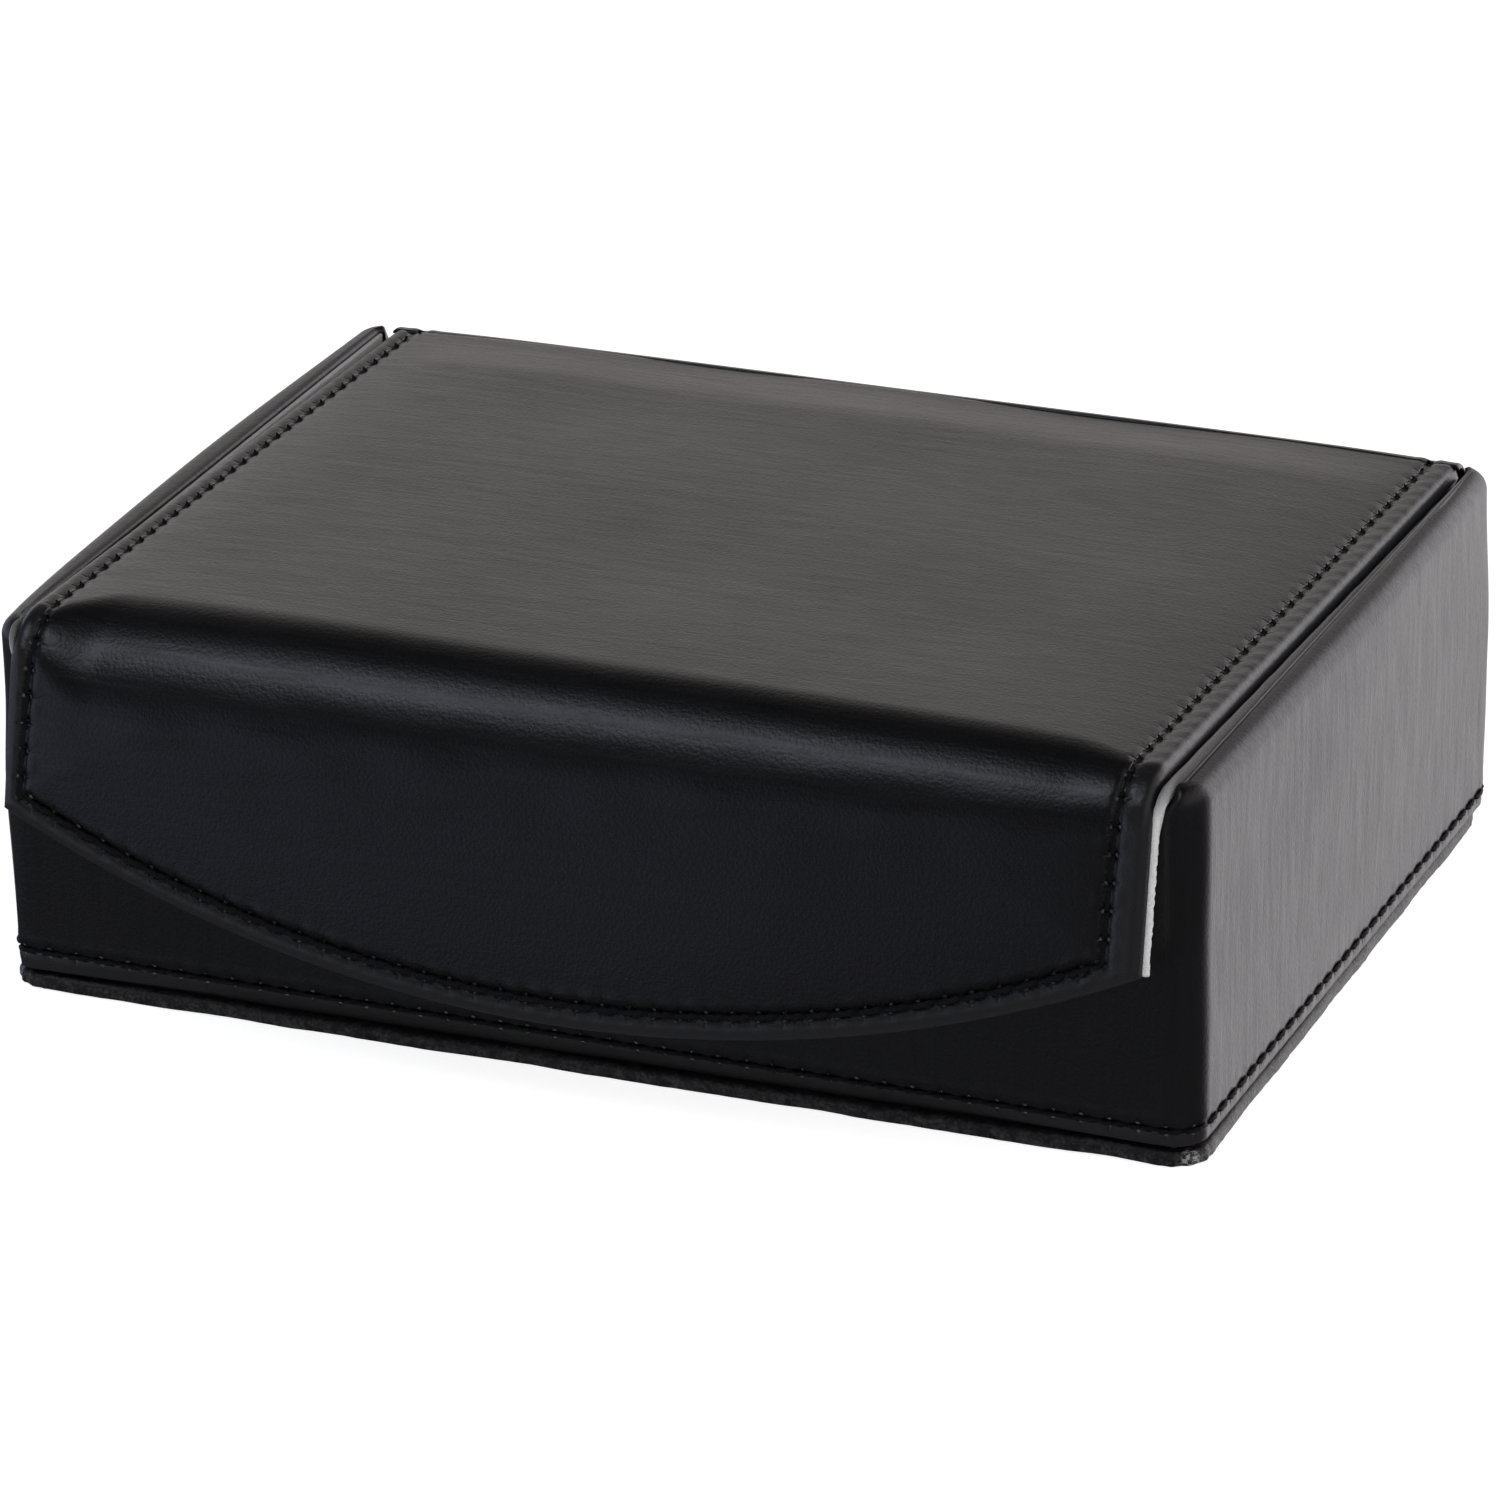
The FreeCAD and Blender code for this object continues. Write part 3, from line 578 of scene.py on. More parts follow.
def hem_level(points):
    """Height of the foot seam, which drops a little towards the right."""
    return HEM_LEVEL - HEM_DIP * (0.5 + 0.5 * points[:, 0] / HALF_WIDTH)


def foot_lean(points, normals):
    """The side walls stand a little further in at the foot than at the top."""
    backwards = 0.5 + 0.5 * points[:, 1] / HALF_DEPTH
    left = LEFT_LEAN * smoothstep(0.3, 0.9, -normals[:, 0])
    return left + RIGHT_LEAN * backwards * smoothstep(0.3, 0.9, normals[:, 0])


def wall_profile(points, normals, along, pitch):
    """Offsets and heights of the wall's section at each place of the path, as a closed loop."""
    sideways = smoothstep(0.08, 0.5, np.abs(normals[:, 0]))
    on_front = smoothstep(0.6, 1.0, -normals[:, 1])
    end_top = np.where(points[:, 1] < 0, FRONT_TOP, BACK_TOP)
    top = end_top + (SIDE_TOP - end_top) * sideways
    roll = END_ROLL + (SIDE_ROLL - END_ROLL) * sideways
    middle = np.cos(np.clip(points[:, 1] / HALF_DEPTH, -1, 1) * pi / 2)
    flare = np.where(points[:, 0] < 0, LEFT_FLARE, RIGHT_FLARE) * sideways * middle
    cornered = np.clip(points[:, 0] * points[:, 1] / (HALF_WIDTH * HALF_DEPTH), 0, 1) ** 6
    hem = hem_level(points)
    lean = foot_lean(points, normals)
    from_corner = np.clip(HALF_WIDTH - np.abs(points[:, 0]), 0, None)
    tuck = on_front * FOOT_TUCK * smoothstep(6, 60, from_corner) + 0.25
    base_top = corner("base_cover", 1)[2] + 0.05
    section = []

    def add(offset, level):
        section.append((np.broadcast_to(offset, top.shape), np.broadcast_to(level, top.shape)))

    def face_offset(level):
        rise = np.clip((level - WALL_FOOT) / (SIDE_TOP - WALL_FOOT - 12), 0, 1)
        waves = 0.30 * ripple(along, level * 2, 21, 70) * smoothstep(10, 26, level) * (1 - on_front * 0.5)
        fold = tuck * (1 - smoothstep(WALL_FOOT + 0.2, WALL_FOOT + 3.4, level))
        relief = seam_relief(level - hem, along / pitch) * 0.8
        drawn_in = lean * (1 - rise) + TOP_TUCK * cornered * smoothstep(40, 68, level)
        return flare * rise - drawn_in + waves - fold + relief

    # Foot, sewn zone and face, from the base up
    add(-2.3, base_top)
    add(-2.2, WALL_FOOT - 0.5)
    add(face_offset(WALL_FOOT) - 0.4, WALL_FOOT - 0.25)
    sewn_levels = WALL_FOOT + np.concatenate([np.linspace(0, 8, 15)[:-1], np.linspace(8, 14, 7)[:-1]])
    for level in sewn_levels:
        add(face_offset(level), level)
    face_foot = sewn_levels[-1] + 1
    for share in np.linspace(0, 1, 20):
        level = face_foot + (top - roll - face_foot) * share
        add(face_offset(level), level)

    # Rolled top, and down the inner side
    face = face_offset(top - roll)
    for angle in np.linspace(0, pi / 2, 9)[1:]:
        add(face - roll * (1 - cos(angle)), top - roll * (1 - sin(angle)))
    crest, inner = face - roll, -WALL_THICKNESS
    for share in (0.35, 0.7):
        add(crest + (inner + INNER_ROLL - crest) * share, top + 0.1 * share)
    for angle in np.linspace(0, pi / 2, 5):
        add(inner + INNER_ROLL * (1 - sin(angle)), top - INNER_ROLL * (1 - cos(angle)))
    for share in (0.1, 0.4, 0.7, 1.0):
        add(inner, (top - INNER_ROLL) * (1 - share) + base_top * share)
    offsets, levels = (np.stack(each, 1) for each in zip(*section))
    return offsets, levels, levels - hem[:, None]


def build_walls(material):
    """Padded leather round all four walls: soft faces, rolled tops and a sewn foot.

    Returns what its stitches need: their places and outward directions, the pitch, and which
    places are sewn.
    """
    points, normals, along, pitch = wall_path(WALL_STEP)
    offsets, levels, across = wall_profile(points, normals, along, pitch)
    x = points[:, :1] + normals[:, :1] * offsets
    y = points[:, 1:] + normals[:, 1:] * offsets
    faces = grid_faces(*levels.shape, wrap_rows=True, wrap_columns=True)
    walls = make_piece("wall_cover", np.stack([x, y, levels], axis=-1), faces, material)
    mark_seam(walls, across, np.broadcast_to(along[:, None], across.shape), pitch)
    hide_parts("wall_leather",
                "front_wall_foam", "back_wall_foam", "left_wall_foam", "right_wall_foam")
    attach(walls, "case")
    sewn = ~((normals[:, 1] > 0.99) & (np.abs(points[:, 0]) < HALF_LID + 1))
    drawn_in = points - normals * (0.93 * foot_lean(points, normals))[:, None]
    spots = np.column_stack([drawn_in, hem_level(points)])
    outward = np.column_stack([normals, np.zeros(len(points))])
    return spots, outward, pitch, sewn


# -------- thread


def stitch_line(path, outward, pitch, start=0.0, keep=None, girth=1.0):
    """Twisted thread along a path: one arched length from each hole to the next. Vertices and faces."""
    lengths = np.concatenate([[0], np.cumsum(np.linalg.norm(np.diff(path, axis=0), axis=1))])
    count = int((lengths[-1] - start) / pitch)
    sections, sides = 9, 8
    share = np.linspace(0, 1, sections)
    to_end = np.abs(share - 0.5) * 2
    places = start + (np.arange(count)[:, None] + HOLE_GAP + (1 - 2 * HOLE_GAP) * share) * pitch
    middles = places[:, sections // 2]

    def read(values):
        return np.stack([np.interp(places, lengths, values[:, axis]) for axis in range(3)], axis=-1)

    centre, normal = read(path), read(outward)
    normal /= np.linalg.norm(normal, axis=-1, keepdims=True)
    tangent = np.gradient(centre, axis=1)
    tangent /= np.linalg.norm(tangent, axis=-1, keepdims=True)
    side = np.cross(normal, tangent)
    arch = STITCH_LIFT + THREAD_RADIUS * 0.7 * np.sin(pi * share) ** 0.6 - STITCH_SINK * to_end ** 8
    centre = centre + normal * arch[:, None] + side * (STITCH_SLANT * (share - 0.5) * 2)[:, None]
    angle = np.linspace(0, 2 * pi, sides, endpoint=False)
    twist = share[:, None] * pitch * 1.5
    radius = THREAD_RADIUS * (1 + 0.20 * np.cos(2 * (angle - twist))) * (1 - 0.35 * to_end ** 6)[:, None]
    ring = side[:, :, None] * np.cos(angle)[:, None] + normal[:, :, None] * np.sin(angle)[:, None]
    thick = np.interp(middles, lengths, np.broadcast_to(girth, lengths.shape))
    vertices = centre[:, :, None] + ring * radius[..., None] * thick[:, None, None, None]
    if keep is not None:
        vertices = vertices[np.interp(middles, lengths, keep.astype(float)) > 0.5]
    faces = []
    for index in range(len(vertices)):
        faces += tube_faces(sections, sides, index * sections * sides)
    return vertices.reshape(-1, 3), faces


def thread_piece(name, lines, material):
    """All the stitches of several seam lines as one piece."""
    vertices, faces = [], []
    for points, quads in lines:
        start = sum(len(each) for each in vertices)
        faces += [[start + index for index in face] for face in quads]
        vertices.append(points)
    return make_piece(name, np.vstack(vertices), faces, material)


def surface_normals(path_points, sideways):
    """Outward normals along a path, at right angles to it and to a given sideways direction."""
    tangent = np.gradient(path_points, axis=0)
    normal = np.cross(tangent, np.broadcast_to(sideways, tangent.shape))
    return normal / np.linalg.norm(normal, axis=1, keepdims=True)


def build_cover_threads(material):
    """The line of stitches along both sides of lid and flap and round the flap's foot."""
    lines = []
    for sign in (-1, 1):
        along = np.linspace(0, SEAM_REACH, 700)
        x = np.full_like(along, sign * (HALF_LID - LID_SEAM))
        bend_start, _, foot = fold_stations(LID_FACE, FLAP_FACE, cover_radius(x), foot_drop(x, HALF_LID))
        x = sign * (HALF_LID - side_seam_margin(x, along, bend_start, foot))
        end = foot - FLAP_FOOT_SEAM / foot_slope(x, HALF_LID)
        inside = along < end[0] + CORNER_OVERRUN
        along, x = along[inside], x[inside]
        bend = cover_radius(np.array([x[0]]))[0]
        path = np.column_stack([x, *fold_point(LID_FACE, FLAP_FACE, bend, along, -SEAM_DEPTH)])
        girth = LID_GIRTH + (1 - LID_GIRTH) * smoothstep(0, 25, along - bend_start[0])
        first_hole = bend_start[0] % FLAP_PITCH
        outward = surface_normals(path, (-1, 0, 0))
        lines.append(stitch_line(path, outward, FLAP_PITCH, start=first_hole, girth=girth))
    left = HALF_LID - LEFT_SEAM + CORNER_OVERRUN
    right = HALF_LID - FLAP_CORNER_SEAM + CORNER_OVERRUN
    x = np.linspace(-left, right, 500)
    bend = cover_radius(x)
    foot = fold_stations(LID_FACE, FLAP_FACE, bend, foot_drop(x, HALF_LID))[2]
    along = foot - FLAP_FOOT_SEAM / foot_slope(x, HALF_LID)
    path = np.column_stack([x, *fold_point(LID_FACE, FLAP_FACE, bend, along, -SEAM_DEPTH)])
    outward = np.broadcast_to((0, -cos(FLAP_LEAN), sin(FLAP_LEAN)), path.shape)
    lines.append(stitch_line(path, outward, FLAP_PITCH, start=left * FOOT_STRETCH % FLAP_PITCH))
    threads = thread_piece("lid_and_flap_stitching", lines, material)
    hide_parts("lid_stitching", "flap_stitching")
    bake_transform(threads)


def build_rear_threads(material):
    """The stitches down both sides of the back panel and along its foot."""
    lines = []
    half = HALF_LID - LID_SEAM
    end = rear_foot(0.0) - HEM_LEVEL + WALL_FOOT
    for sign in (-1, 1):
        along = np.linspace(0, end, 300)
        path = np.column_stack([np.full_like(along, sign * half), *rear_point(0.0, along, -REAR_SEAM_DEPTH)])
        lines.append(stitch_line(path, surface_normals(path, (1, 0, 0)), FLAP_PITCH))
    x = np.linspace(-half, half, 300)
    path = np.column_stack([x, *rear_point(0.0, np.full_like(x, end), -REAR_SEAM_DEPTH)])
    lines.append(stitch_line(path, np.broadcast_to((0, 1, 0), path.shape), FLAP_PITCH))
    threads = thread_piece("back_seam_stitching", lines, material)
    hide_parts("back_stitching")
    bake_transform(threads)


def build_hem_threads(hem, material):
    """The stitches round the foot of the walls, apart from behind the back panel."""
    *open_paths, pitch, sewn = hem
    spots, outward = (np.vstack([each, each[:1]]) for each in open_paths)
    keep = np.append(sewn, sewn[0])
    lines = [stitch_line(spots - outward * HEM_SEAM_DEPTH, outward, pitch, keep=keep, girth=HEM_GIRTH)]
    threads = thread_piece("hem_seam_stitching", lines, material)
    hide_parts("hem_stitching")
    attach(threads, "case")


# -------- velvet linings


def lining_surface(x_places, rows, lid_offset, flap_offset, bend, fuzz):
    """One face of the velvet inside lid, fold and flap; fuzz is the unevenness of its pile."""
    stations = fold_stations(lid_offset, flap_offset, bend, foot_drop(x_places, HALF_LINING) - 0.2)
    x, along = fold_grid(x_places, rows, stations)
    wide = smoothstep(stations[0], stations[1] + 6, along)
    edge = smoothstep(4, 0.3, x_places[-1] - np.abs(x))
    sway = 0.12 * ripple(along, 0 * along, 31, 17)
    x = x + np.sign(x) * edge * (sway - 0.9 * wide)
    raised = -fuzz * (0.10 * ripple(x, along, 33, 28) + 0.05 * ripple(x, along, 34, 6))
    return np.stack([x, *fold_point(lid_offset, flap_offset, bend, along, raised)], axis=-1)


def build_lid_lining(material):
    """The velvet inside of lid, fold and flap, one sheet that shows past the leather as a light edge."""
    stride = 3
    half = HALF_LINING + 0.35
    spacing = edge_spacing(2 * half, roll=0.6, fine_reach=5, fine_step=0.55, coarse_step=4.0)
    x_places = thinned(spacing - half, stride)
    foot_rows = np.array([0, 0.1, 0.35, 0.7, 1.5, 3.0, 5.0])
    rows = fold_rows(195, 14, 39, foot_rows, stride)
    outer = lining_surface(x_places, rows, LID_UNDER - 0.02, FLAP_UNDER - 0.02, bend=2.0, fuzz=0.0)
    inner = lining_surface(x_places, rows, LID_LINING_UNDER, FLAP_LINING_UNDER - 0.25, bend=1.2, fuzz=1.0)
    lining = pillow("lid_and_flap_lining", inner, outer, material, stride)
    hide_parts("lid_lining", "front_fold_lining", "flap_lining")
    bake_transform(lining)


def build_lining_edges(material):
    """The turned velvet edge that stands beside the leather along lid, fold and flap, painted in shade along
    the lid and lit on the flap.
    """
    lid_offset, flap_offset, bend = -2.1, -0.95, 3.0
    drop = foot_drop(HALF_LID, HALF_LID) - 0.3
    start, end, foot = fold_stations(lid_offset, flap_offset, bend, drop)
    along = np.linspace(0, 1, 420) * foot
    angle = np.linspace(0, 2 * pi, 14, endpoint=False)
    wide = smoothstep(start, end + 4, along)[:, None]
    sway = 0.08 * ripple(along, 0 * along, 35, 21)[:, None]
    fuzz = 1 + 0.20 * wide * ripple(along[:, None], 3 * angle, 36, 1.1)
    half_high = 1.7 - 0.75 * wide
    half_wide = 0.6 + 0.3 * wide
    y, z = fold_point(lid_offset, flap_offset, bend, along[:, None],
                      half_high * np.sin(angle) * (0.9 + 0.1 * fuzz))
    edges = []
    for name, sign, flap_reach, flap_light in (("left", -1, -0.75, 0.15), ("right", 1, 0.10, 1.0)):
        centre = HALF_LID + 0.95 + (flap_reach - 0.95) * wide + sway
        out = centre + half_wide * np.cos(angle) * fuzz
        tube = np.stack([sign * out, y, z], axis=-1)
        edge = make_piece(f"{name}_lining_edge", tube, tube_faces(*out.shape), material)
        # Painted light and shade: this mark runs from 0 on the lid, where the edge takes the painted shade,
        # to full light on the right flap and a little on the left flap.
        lit = np.broadcast_to(flap_light * wide, out.shape)
        mark_seam(edge, lit, 0 * lit, 1.0)
        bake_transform(edge)
        edges.append(edge)
    return edges


def build_hinge_lining(material):
    """The velvet strip inside the rear hinge, drawn as a slack fold as it lies when the case is shut."""
    half = HALF_LINING - 0.6
    face_y = corner("back_wall_lining", 0)[1]
    lid_y, lid_z = fold_point(LID_LINING_UNDER - 0.1, 0, 1.0, 0.6, 0.0)
    low, high = corner("rear_hinge_lining", 0)[2], lid_z - 0.3
    share = np.linspace(0, 1, 28)[:, None]
    x = np.linspace(-half, half, 90)[None, :]
    slack = 4.2 * np.sin(pi * share) ** 1.4 * (1 + 0.10 * ripple(x, 0 * x, 41, 60))
    y = face_y - 0.15 + (lid_y - face_y) * share ** 6 - slack
    z = low + (high - low) * share + 0.35 * np.sin(pi * share) * ripple(x, 0 * x, 42, 45)
    x = np.broadcast_to(x, y.shape)
    front, back = np.stack([x, y - 0.45, z], axis=-1), np.stack([x, y + 0.05, z], axis=-1)
    front[[0, -1], :, 1] += 0.25
    front[:, [0, -1], 1] += 0.25
    strip = pillow("rear_hinge_lining_strip", front, back, material)
    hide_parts("rear_hinge_lining")
    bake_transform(strip)


def soft_panel(name, node, normal_axis, direction, material, seed):
    """A thin velvet panel with rounded edges in place of a flat CAD cloth; with its width and height."""
    low, high = corner(node, 0), corner(node, 1)
    size = high - low
    u_axis, v_axis = (axis for axis in range(3) if axis != normal_axis)
    edge = min(0.5, size[normal_axis] * 0.8)
    u, v = (low[axis] + edge_spacing(size[axis], edge, 3, 0.6, 4.5) for axis in (u_axis, v_axis))
    u_grid, v_grid = np.meshgrid(u, v)
    inset = np.minimum(np.minimum(u_grid - u[0], u[-1] - u_grid), np.minimum(v_grid - v[0], v[-1] - v_grid))
    unevenness = 0.06 * ripple(u_grid, v_grid, seed, 34) * smoothstep(0, 5, inset)
    base, face = (low, high) if direction > 0 else (high, low)
    front = np.empty((*u_grid.shape, 3))
    front[..., u_axis], front[..., v_axis] = u_grid, v_grid
    front[..., normal_axis] = face[normal_axis] + direction * (unevenness - roll_drop(inset, edge, edge))
    back = front.copy()
    back[..., normal_axis] = base[normal_axis]
    panel = pillow(name, front, back, material)
    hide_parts(node)
    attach(panel, "case")
    return panel, size[u_axis] * MM, size[v_axis] * MM


def build_wall_linings(material):
    """Velvet over the inner face of each wall."""
    walls = (("front", 1, 1), ("back", 1, -1), ("left", 0, 1), ("right", 0, -1))
    for index, (side, axis, direction) in enumerate(walls):
        node = f"{side}_wall_lining"
        panel, width, height = soft_panel(node + "_velvet", node, axis, direction, material, 50 + index)


# -------- chip tray


TROUGH_Z = 47.9
TROUGH_RADIUS = 20.2
TROUGH_PITCH = 43.4
RIM_LIP = 1.3


def rack_section(low, high):
    """The outline of a rack's velvet across X: rounded rims and two half-round troughs."""
    rim = high[2]
    dip = TROUGH_Z - rim
    reach = sqrt(TROUGH_RADIUS ** 2 - dip ** 2)
    start = np.arcsin(dip / TROUGH_RADIUS) + 0.03
    lip_level = rim - RIM_LIP
    points = [(low[0], low[2] + 2.0), (low[0], lip_level)]
    points += arc((low[0] + RIM_LIP, lip_level), RIM_LIP, pi, pi / 2, 6)[1:]
    for sign in (-1, 1):
        centre = (low[0] + high[0]) / 2 + sign * TROUGH_PITCH / 2
        points += [(centre - reach - 0.9, rim), (centre - reach - 0.35, rim - 0.12)]
        points += arc((centre, TROUGH_Z), TROUGH_RADIUS, pi + start, 2 * pi - start, 46)
        points += [(centre + reach + 0.35, rim - 0.12), (centre + reach + 0.9, rim)]
    points += arc((high[0] - RIM_LIP, lip_level), RIM_LIP, pi / 2, 0, 6)[:-1]
    points += [(high[0], lip_level), (high[0], low[2] + 2.0)]
    return np.array(points)


def build_racks(material):
    """Velvet laid over each rack block, with soft rims between the chip rows."""
    for index, side in enumerate(("left", "right")):
        node = f"{side}_rack_velvet"
        low, high = corner(node, 0), corner(node, 1)
        section = rack_section(low, high)
        y = low[1] + edge_spacing(high[1] - low[1], 0.4, 4, 0.8, 5.0)
        x, y = np.meshgrid(section[:, 0], y)
        height = section[:, 1] + 0.05 * ripple(x, y, 60 + index, 25)
        centre = (low[0] + high[0]) / 2
        top = np.stack([x, y, height], axis=-1)
        under = np.stack([centre + (x - centre) * 0.988, y, height - 0.5], axis=-1)
        rack = pillow(f"{side}_rack_velvet_cover", top, under, material)
        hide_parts(node)
        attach(rack, "case")


def build_wells(material):
    """Velvet on the floors of the two wells and round the boards beside and between them."""
    for index, node in enumerate(("card_well_velvet", "dice_well_velvet")):
        panel, width, length = soft_panel(node + "_pad", node, 2, 1, material, 70 + index)
    boards = ("front_tray_end", "back_tray_end", "left_well_side", "right_well_side", "well_divider")
    for index, node in enumerate(boards):
        wrapped_board(node, material, 80 + index)


def wrapped_board(node, material, seed):
    """An upright board wrapped in velvet: flat faces and a rounded top, swept along its length."""
    low, high = corner(node, 0), corner(node, 1)
    size = high - low
    along_axis = 0 if size[0] > size[1] else 1
    thin_axis = 1 - along_axis
    radius = size[thin_axis] / 2
    heights = np.linspace(low[2], high[2] - radius, 9)
    section = [(radius, height) for height in heights]
    section += arc((0, heights[-1]), radius, 0, pi, 11)[1:-1]
    section += [(-radius, height) for height in heights[::-1]]
    section = np.array(section)
    along = low[along_axis] + edge_spacing(size[along_axis], 0.3, 2, 0.7, 5.0)
    grid = np.empty((len(along), len(section), 3))
    grid[..., along_axis] = along[:, None]
    grid[..., thin_axis] = (high[thin_axis] + low[thin_axis]) / 2 + section[:, 0]
    grid[..., 2] = section[:, 1] + 0.05 * ripple(along[:, None], section[:, 1], seed, 30)
    faces = tube_faces(*grid.shape[:2])
    caps = (len(faces) - 2, len(faces) - 1)
    board = make_piece(node + "_wrap", grid, faces, material, flat_faces=caps)
    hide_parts(node)
    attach(board, "case")


# -------- base


def base_section(height):
    """Outline of the base's edge as (offset, level): flat below, a sharp foot, a soft top edge.

    It starts and ends at the middle of the corners' curve.
    """
    section = [(-BASE_CORNER, 0.0), (-4.0, 0.0), (-2.0, 0.0)]
    section += arc((-BASE_FOOT_ROLL, BASE_FOOT_ROLL), BASE_FOOT_ROLL, -pi / 2, 0, 6)
    section += arc((-BASE_TOP_ROLL, height - BASE_TOP_ROLL), BASE_TOP_ROLL, 0, pi / 2, 7)
    section += [(-2.4, height), (-4.5, height), (-BASE_CORNER, height - 0.6)]
    return np.array(section)


def build_base(material):
    """The base panel: a board wrapped in dull leatherette, with rounded edges and gathered corners."""
    low, high = corner("base_cover", 0), corner("base_cover", 1)
    places, normals = rounded_outline(high[0], high[1], BASE_CORNER, 26, (100, 100))
    x, y, out_x, out_y = places[:, :1], places[:, 1:], normals[:, :1], normals[:, 1:]
    inward, rise = base_section(high[2] - low[2]).T
    around = np.arange(len(places))[:, None]
    gathered = np.abs(out_x * out_y) * 2
    uneven = 0.22 * ripple(x, y, 91, 24) + 0.10 * ripple(around, 0 * around, 92, 2.6)
    uneven = uneven + 0.22 * gathered * np.sin(around * 1.15)

    # The wrap stands out a little in front, and less on the right the further back it is.
    ahead = 0.9 * smoothstep(0.2, 0.9, -out_y)
    sideways = smoothstep(0.5, 1.0, out_x) * (-0.3 - 1.3 * y / high[1])
    front_right = 0.9 * gathered * (out_x > 0) * (out_y < 0)
    shaped = smoothstep(-4, -1, inward)
    offset = inward + (uneven + ahead + sideways + front_right) * shaped
    level = low[2] + np.clip(rise + 0.10 * shaped * ripple(x, y + 40, 93, 18), 0, None)
    vertices = np.stack([x + out_x * offset, y + out_y * offset, level], axis=-1)
    rows, columns = level.shape
    index = grid_index(rows, columns)
    faces = grid_faces(rows, columns, wrap_rows=True) + [index[:, 0].tolist(), index[::-1, -1].tolist()]
    caps = (len(faces) - 2, len(faces) - 1)
    base = make_piece("base_panel_wrap", vertices, faces, material, flat_faces=caps)
    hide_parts("base_cover")
    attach(base, "case")


# -------- materials


# Painted sheen: the leatherette's margins outside the seams are painted a little lighter.
MARGIN_PAINTED_SHEEN = (0.0155, 0.0152, 0.0160, 1)
# Painted shade in the seams' grooves and in the whisker creases at the holes.
SEAM_PAINTED_SHADE = (0.001, 0.001, 0.001, 1)
# Painted glints: small light dots beside the stitch holes.
PAINTED_GLINT = (0.13, 0.13, 0.135, 1)

# Where the base's wrap starts to look frayed and where it is fully so, in metres from the middle
FRAYED_X = (0.1216, 0.1226)
FRAYED_Y = (0.0876, 0.0886)


def feed(tree, node, inputs):
    """Set a node's inputs: each is a plain value or another node's output."""
    for key, value in dict(inputs).items():
        if isinstance(value, bpy.types.NodeSocket):
            tree.links.new(value, node.inputs[key])
        else:
            node.inputs[key].default_value = value


def add_node(tree, kind, inputs=(), **settings):
    """A shader node with its settings and inputs."""
    node = tree.nodes.new(kind)
    for key, value in settings.items():
        setattr(node, key, value)
    feed(tree, node, inputs)
    return node


def compute(tree, operation, first, second=0.0, third=0.0):
    inputs = {0: first, 1: second, 2: third}
    return add_node(tree, "ShaderNodeMath", inputs, operation=operation).outputs[0]


def times(tree, first, second):
    return compute(tree, "MULTIPLY", first, second)


def remap(tree, value, low, high, out_low=0.0, out_high=1.0, smooth=False):
    kind = "SMOOTHSTEP" if smooth else "LINEAR"
    inputs = {"Value": value, "From Min": low, "From Max": high, "To Min": out_low, "To Max": out_high}
    return add_node(tree, "ShaderNodeMapRange", inputs, interpolation_type=kind).outputs["Result"]


def mix_colours(tree, share, first, second):
    inputs = {0: share, 6: first, 7: second}
    return add_node(tree, "ShaderNodeMix", inputs, data_type="RGBA").outputs[2]


def separate(tree, vector):
    """The three parts of a vector."""
    return add_node(tree, "ShaderNodeSeparateXYZ", {0: vector}).outputs


def seam_marks(tree):
    """What mark_seam stored: distance from the sewn line, place along it in stitches, and its weight."""
    return separate(tree, add_node(tree, "ShaderNodeAttribute", attribute_name="seam").outputs["Vector"])


def grey(level, alpha=1):
    return level, level, level, alpha


def noise(tree, place, scale, detail=3.0, roughness=0.5):
    inputs = {"Vector": place, "Scale": scale, "Detail": detail, "Roughness": roughness}
    return add_node(tree, "ShaderNodeTexNoise", inputs).outputs["Fac"]


def stretched(tree, place, factors):
    return add_node(tree, "ShaderNodeMapping", {"Vector": place, "Scale": factors}).outputs["Vector"]


def new_material(name):
    """An empty material with its surface shader and the piece's own coordinates, in metres."""
    material = bpy.data.materials.new(name)
    material.use_nodes = True
    tree = material.node_tree
    shader = tree.nodes["Principled BSDF"]
    place = tree.nodes.new("ShaderNodeTexCoord").outputs["Object"]
    return material, tree, shader, place


def bump(tree, height, strength, distance, under=None):
    inputs = {"Height": height, "Strength": strength, "Distance": distance}
    if under is not None:
        inputs["Normal"] = under
    return add_node(tree, "ShaderNodeBump", inputs).outputs["Normal"]


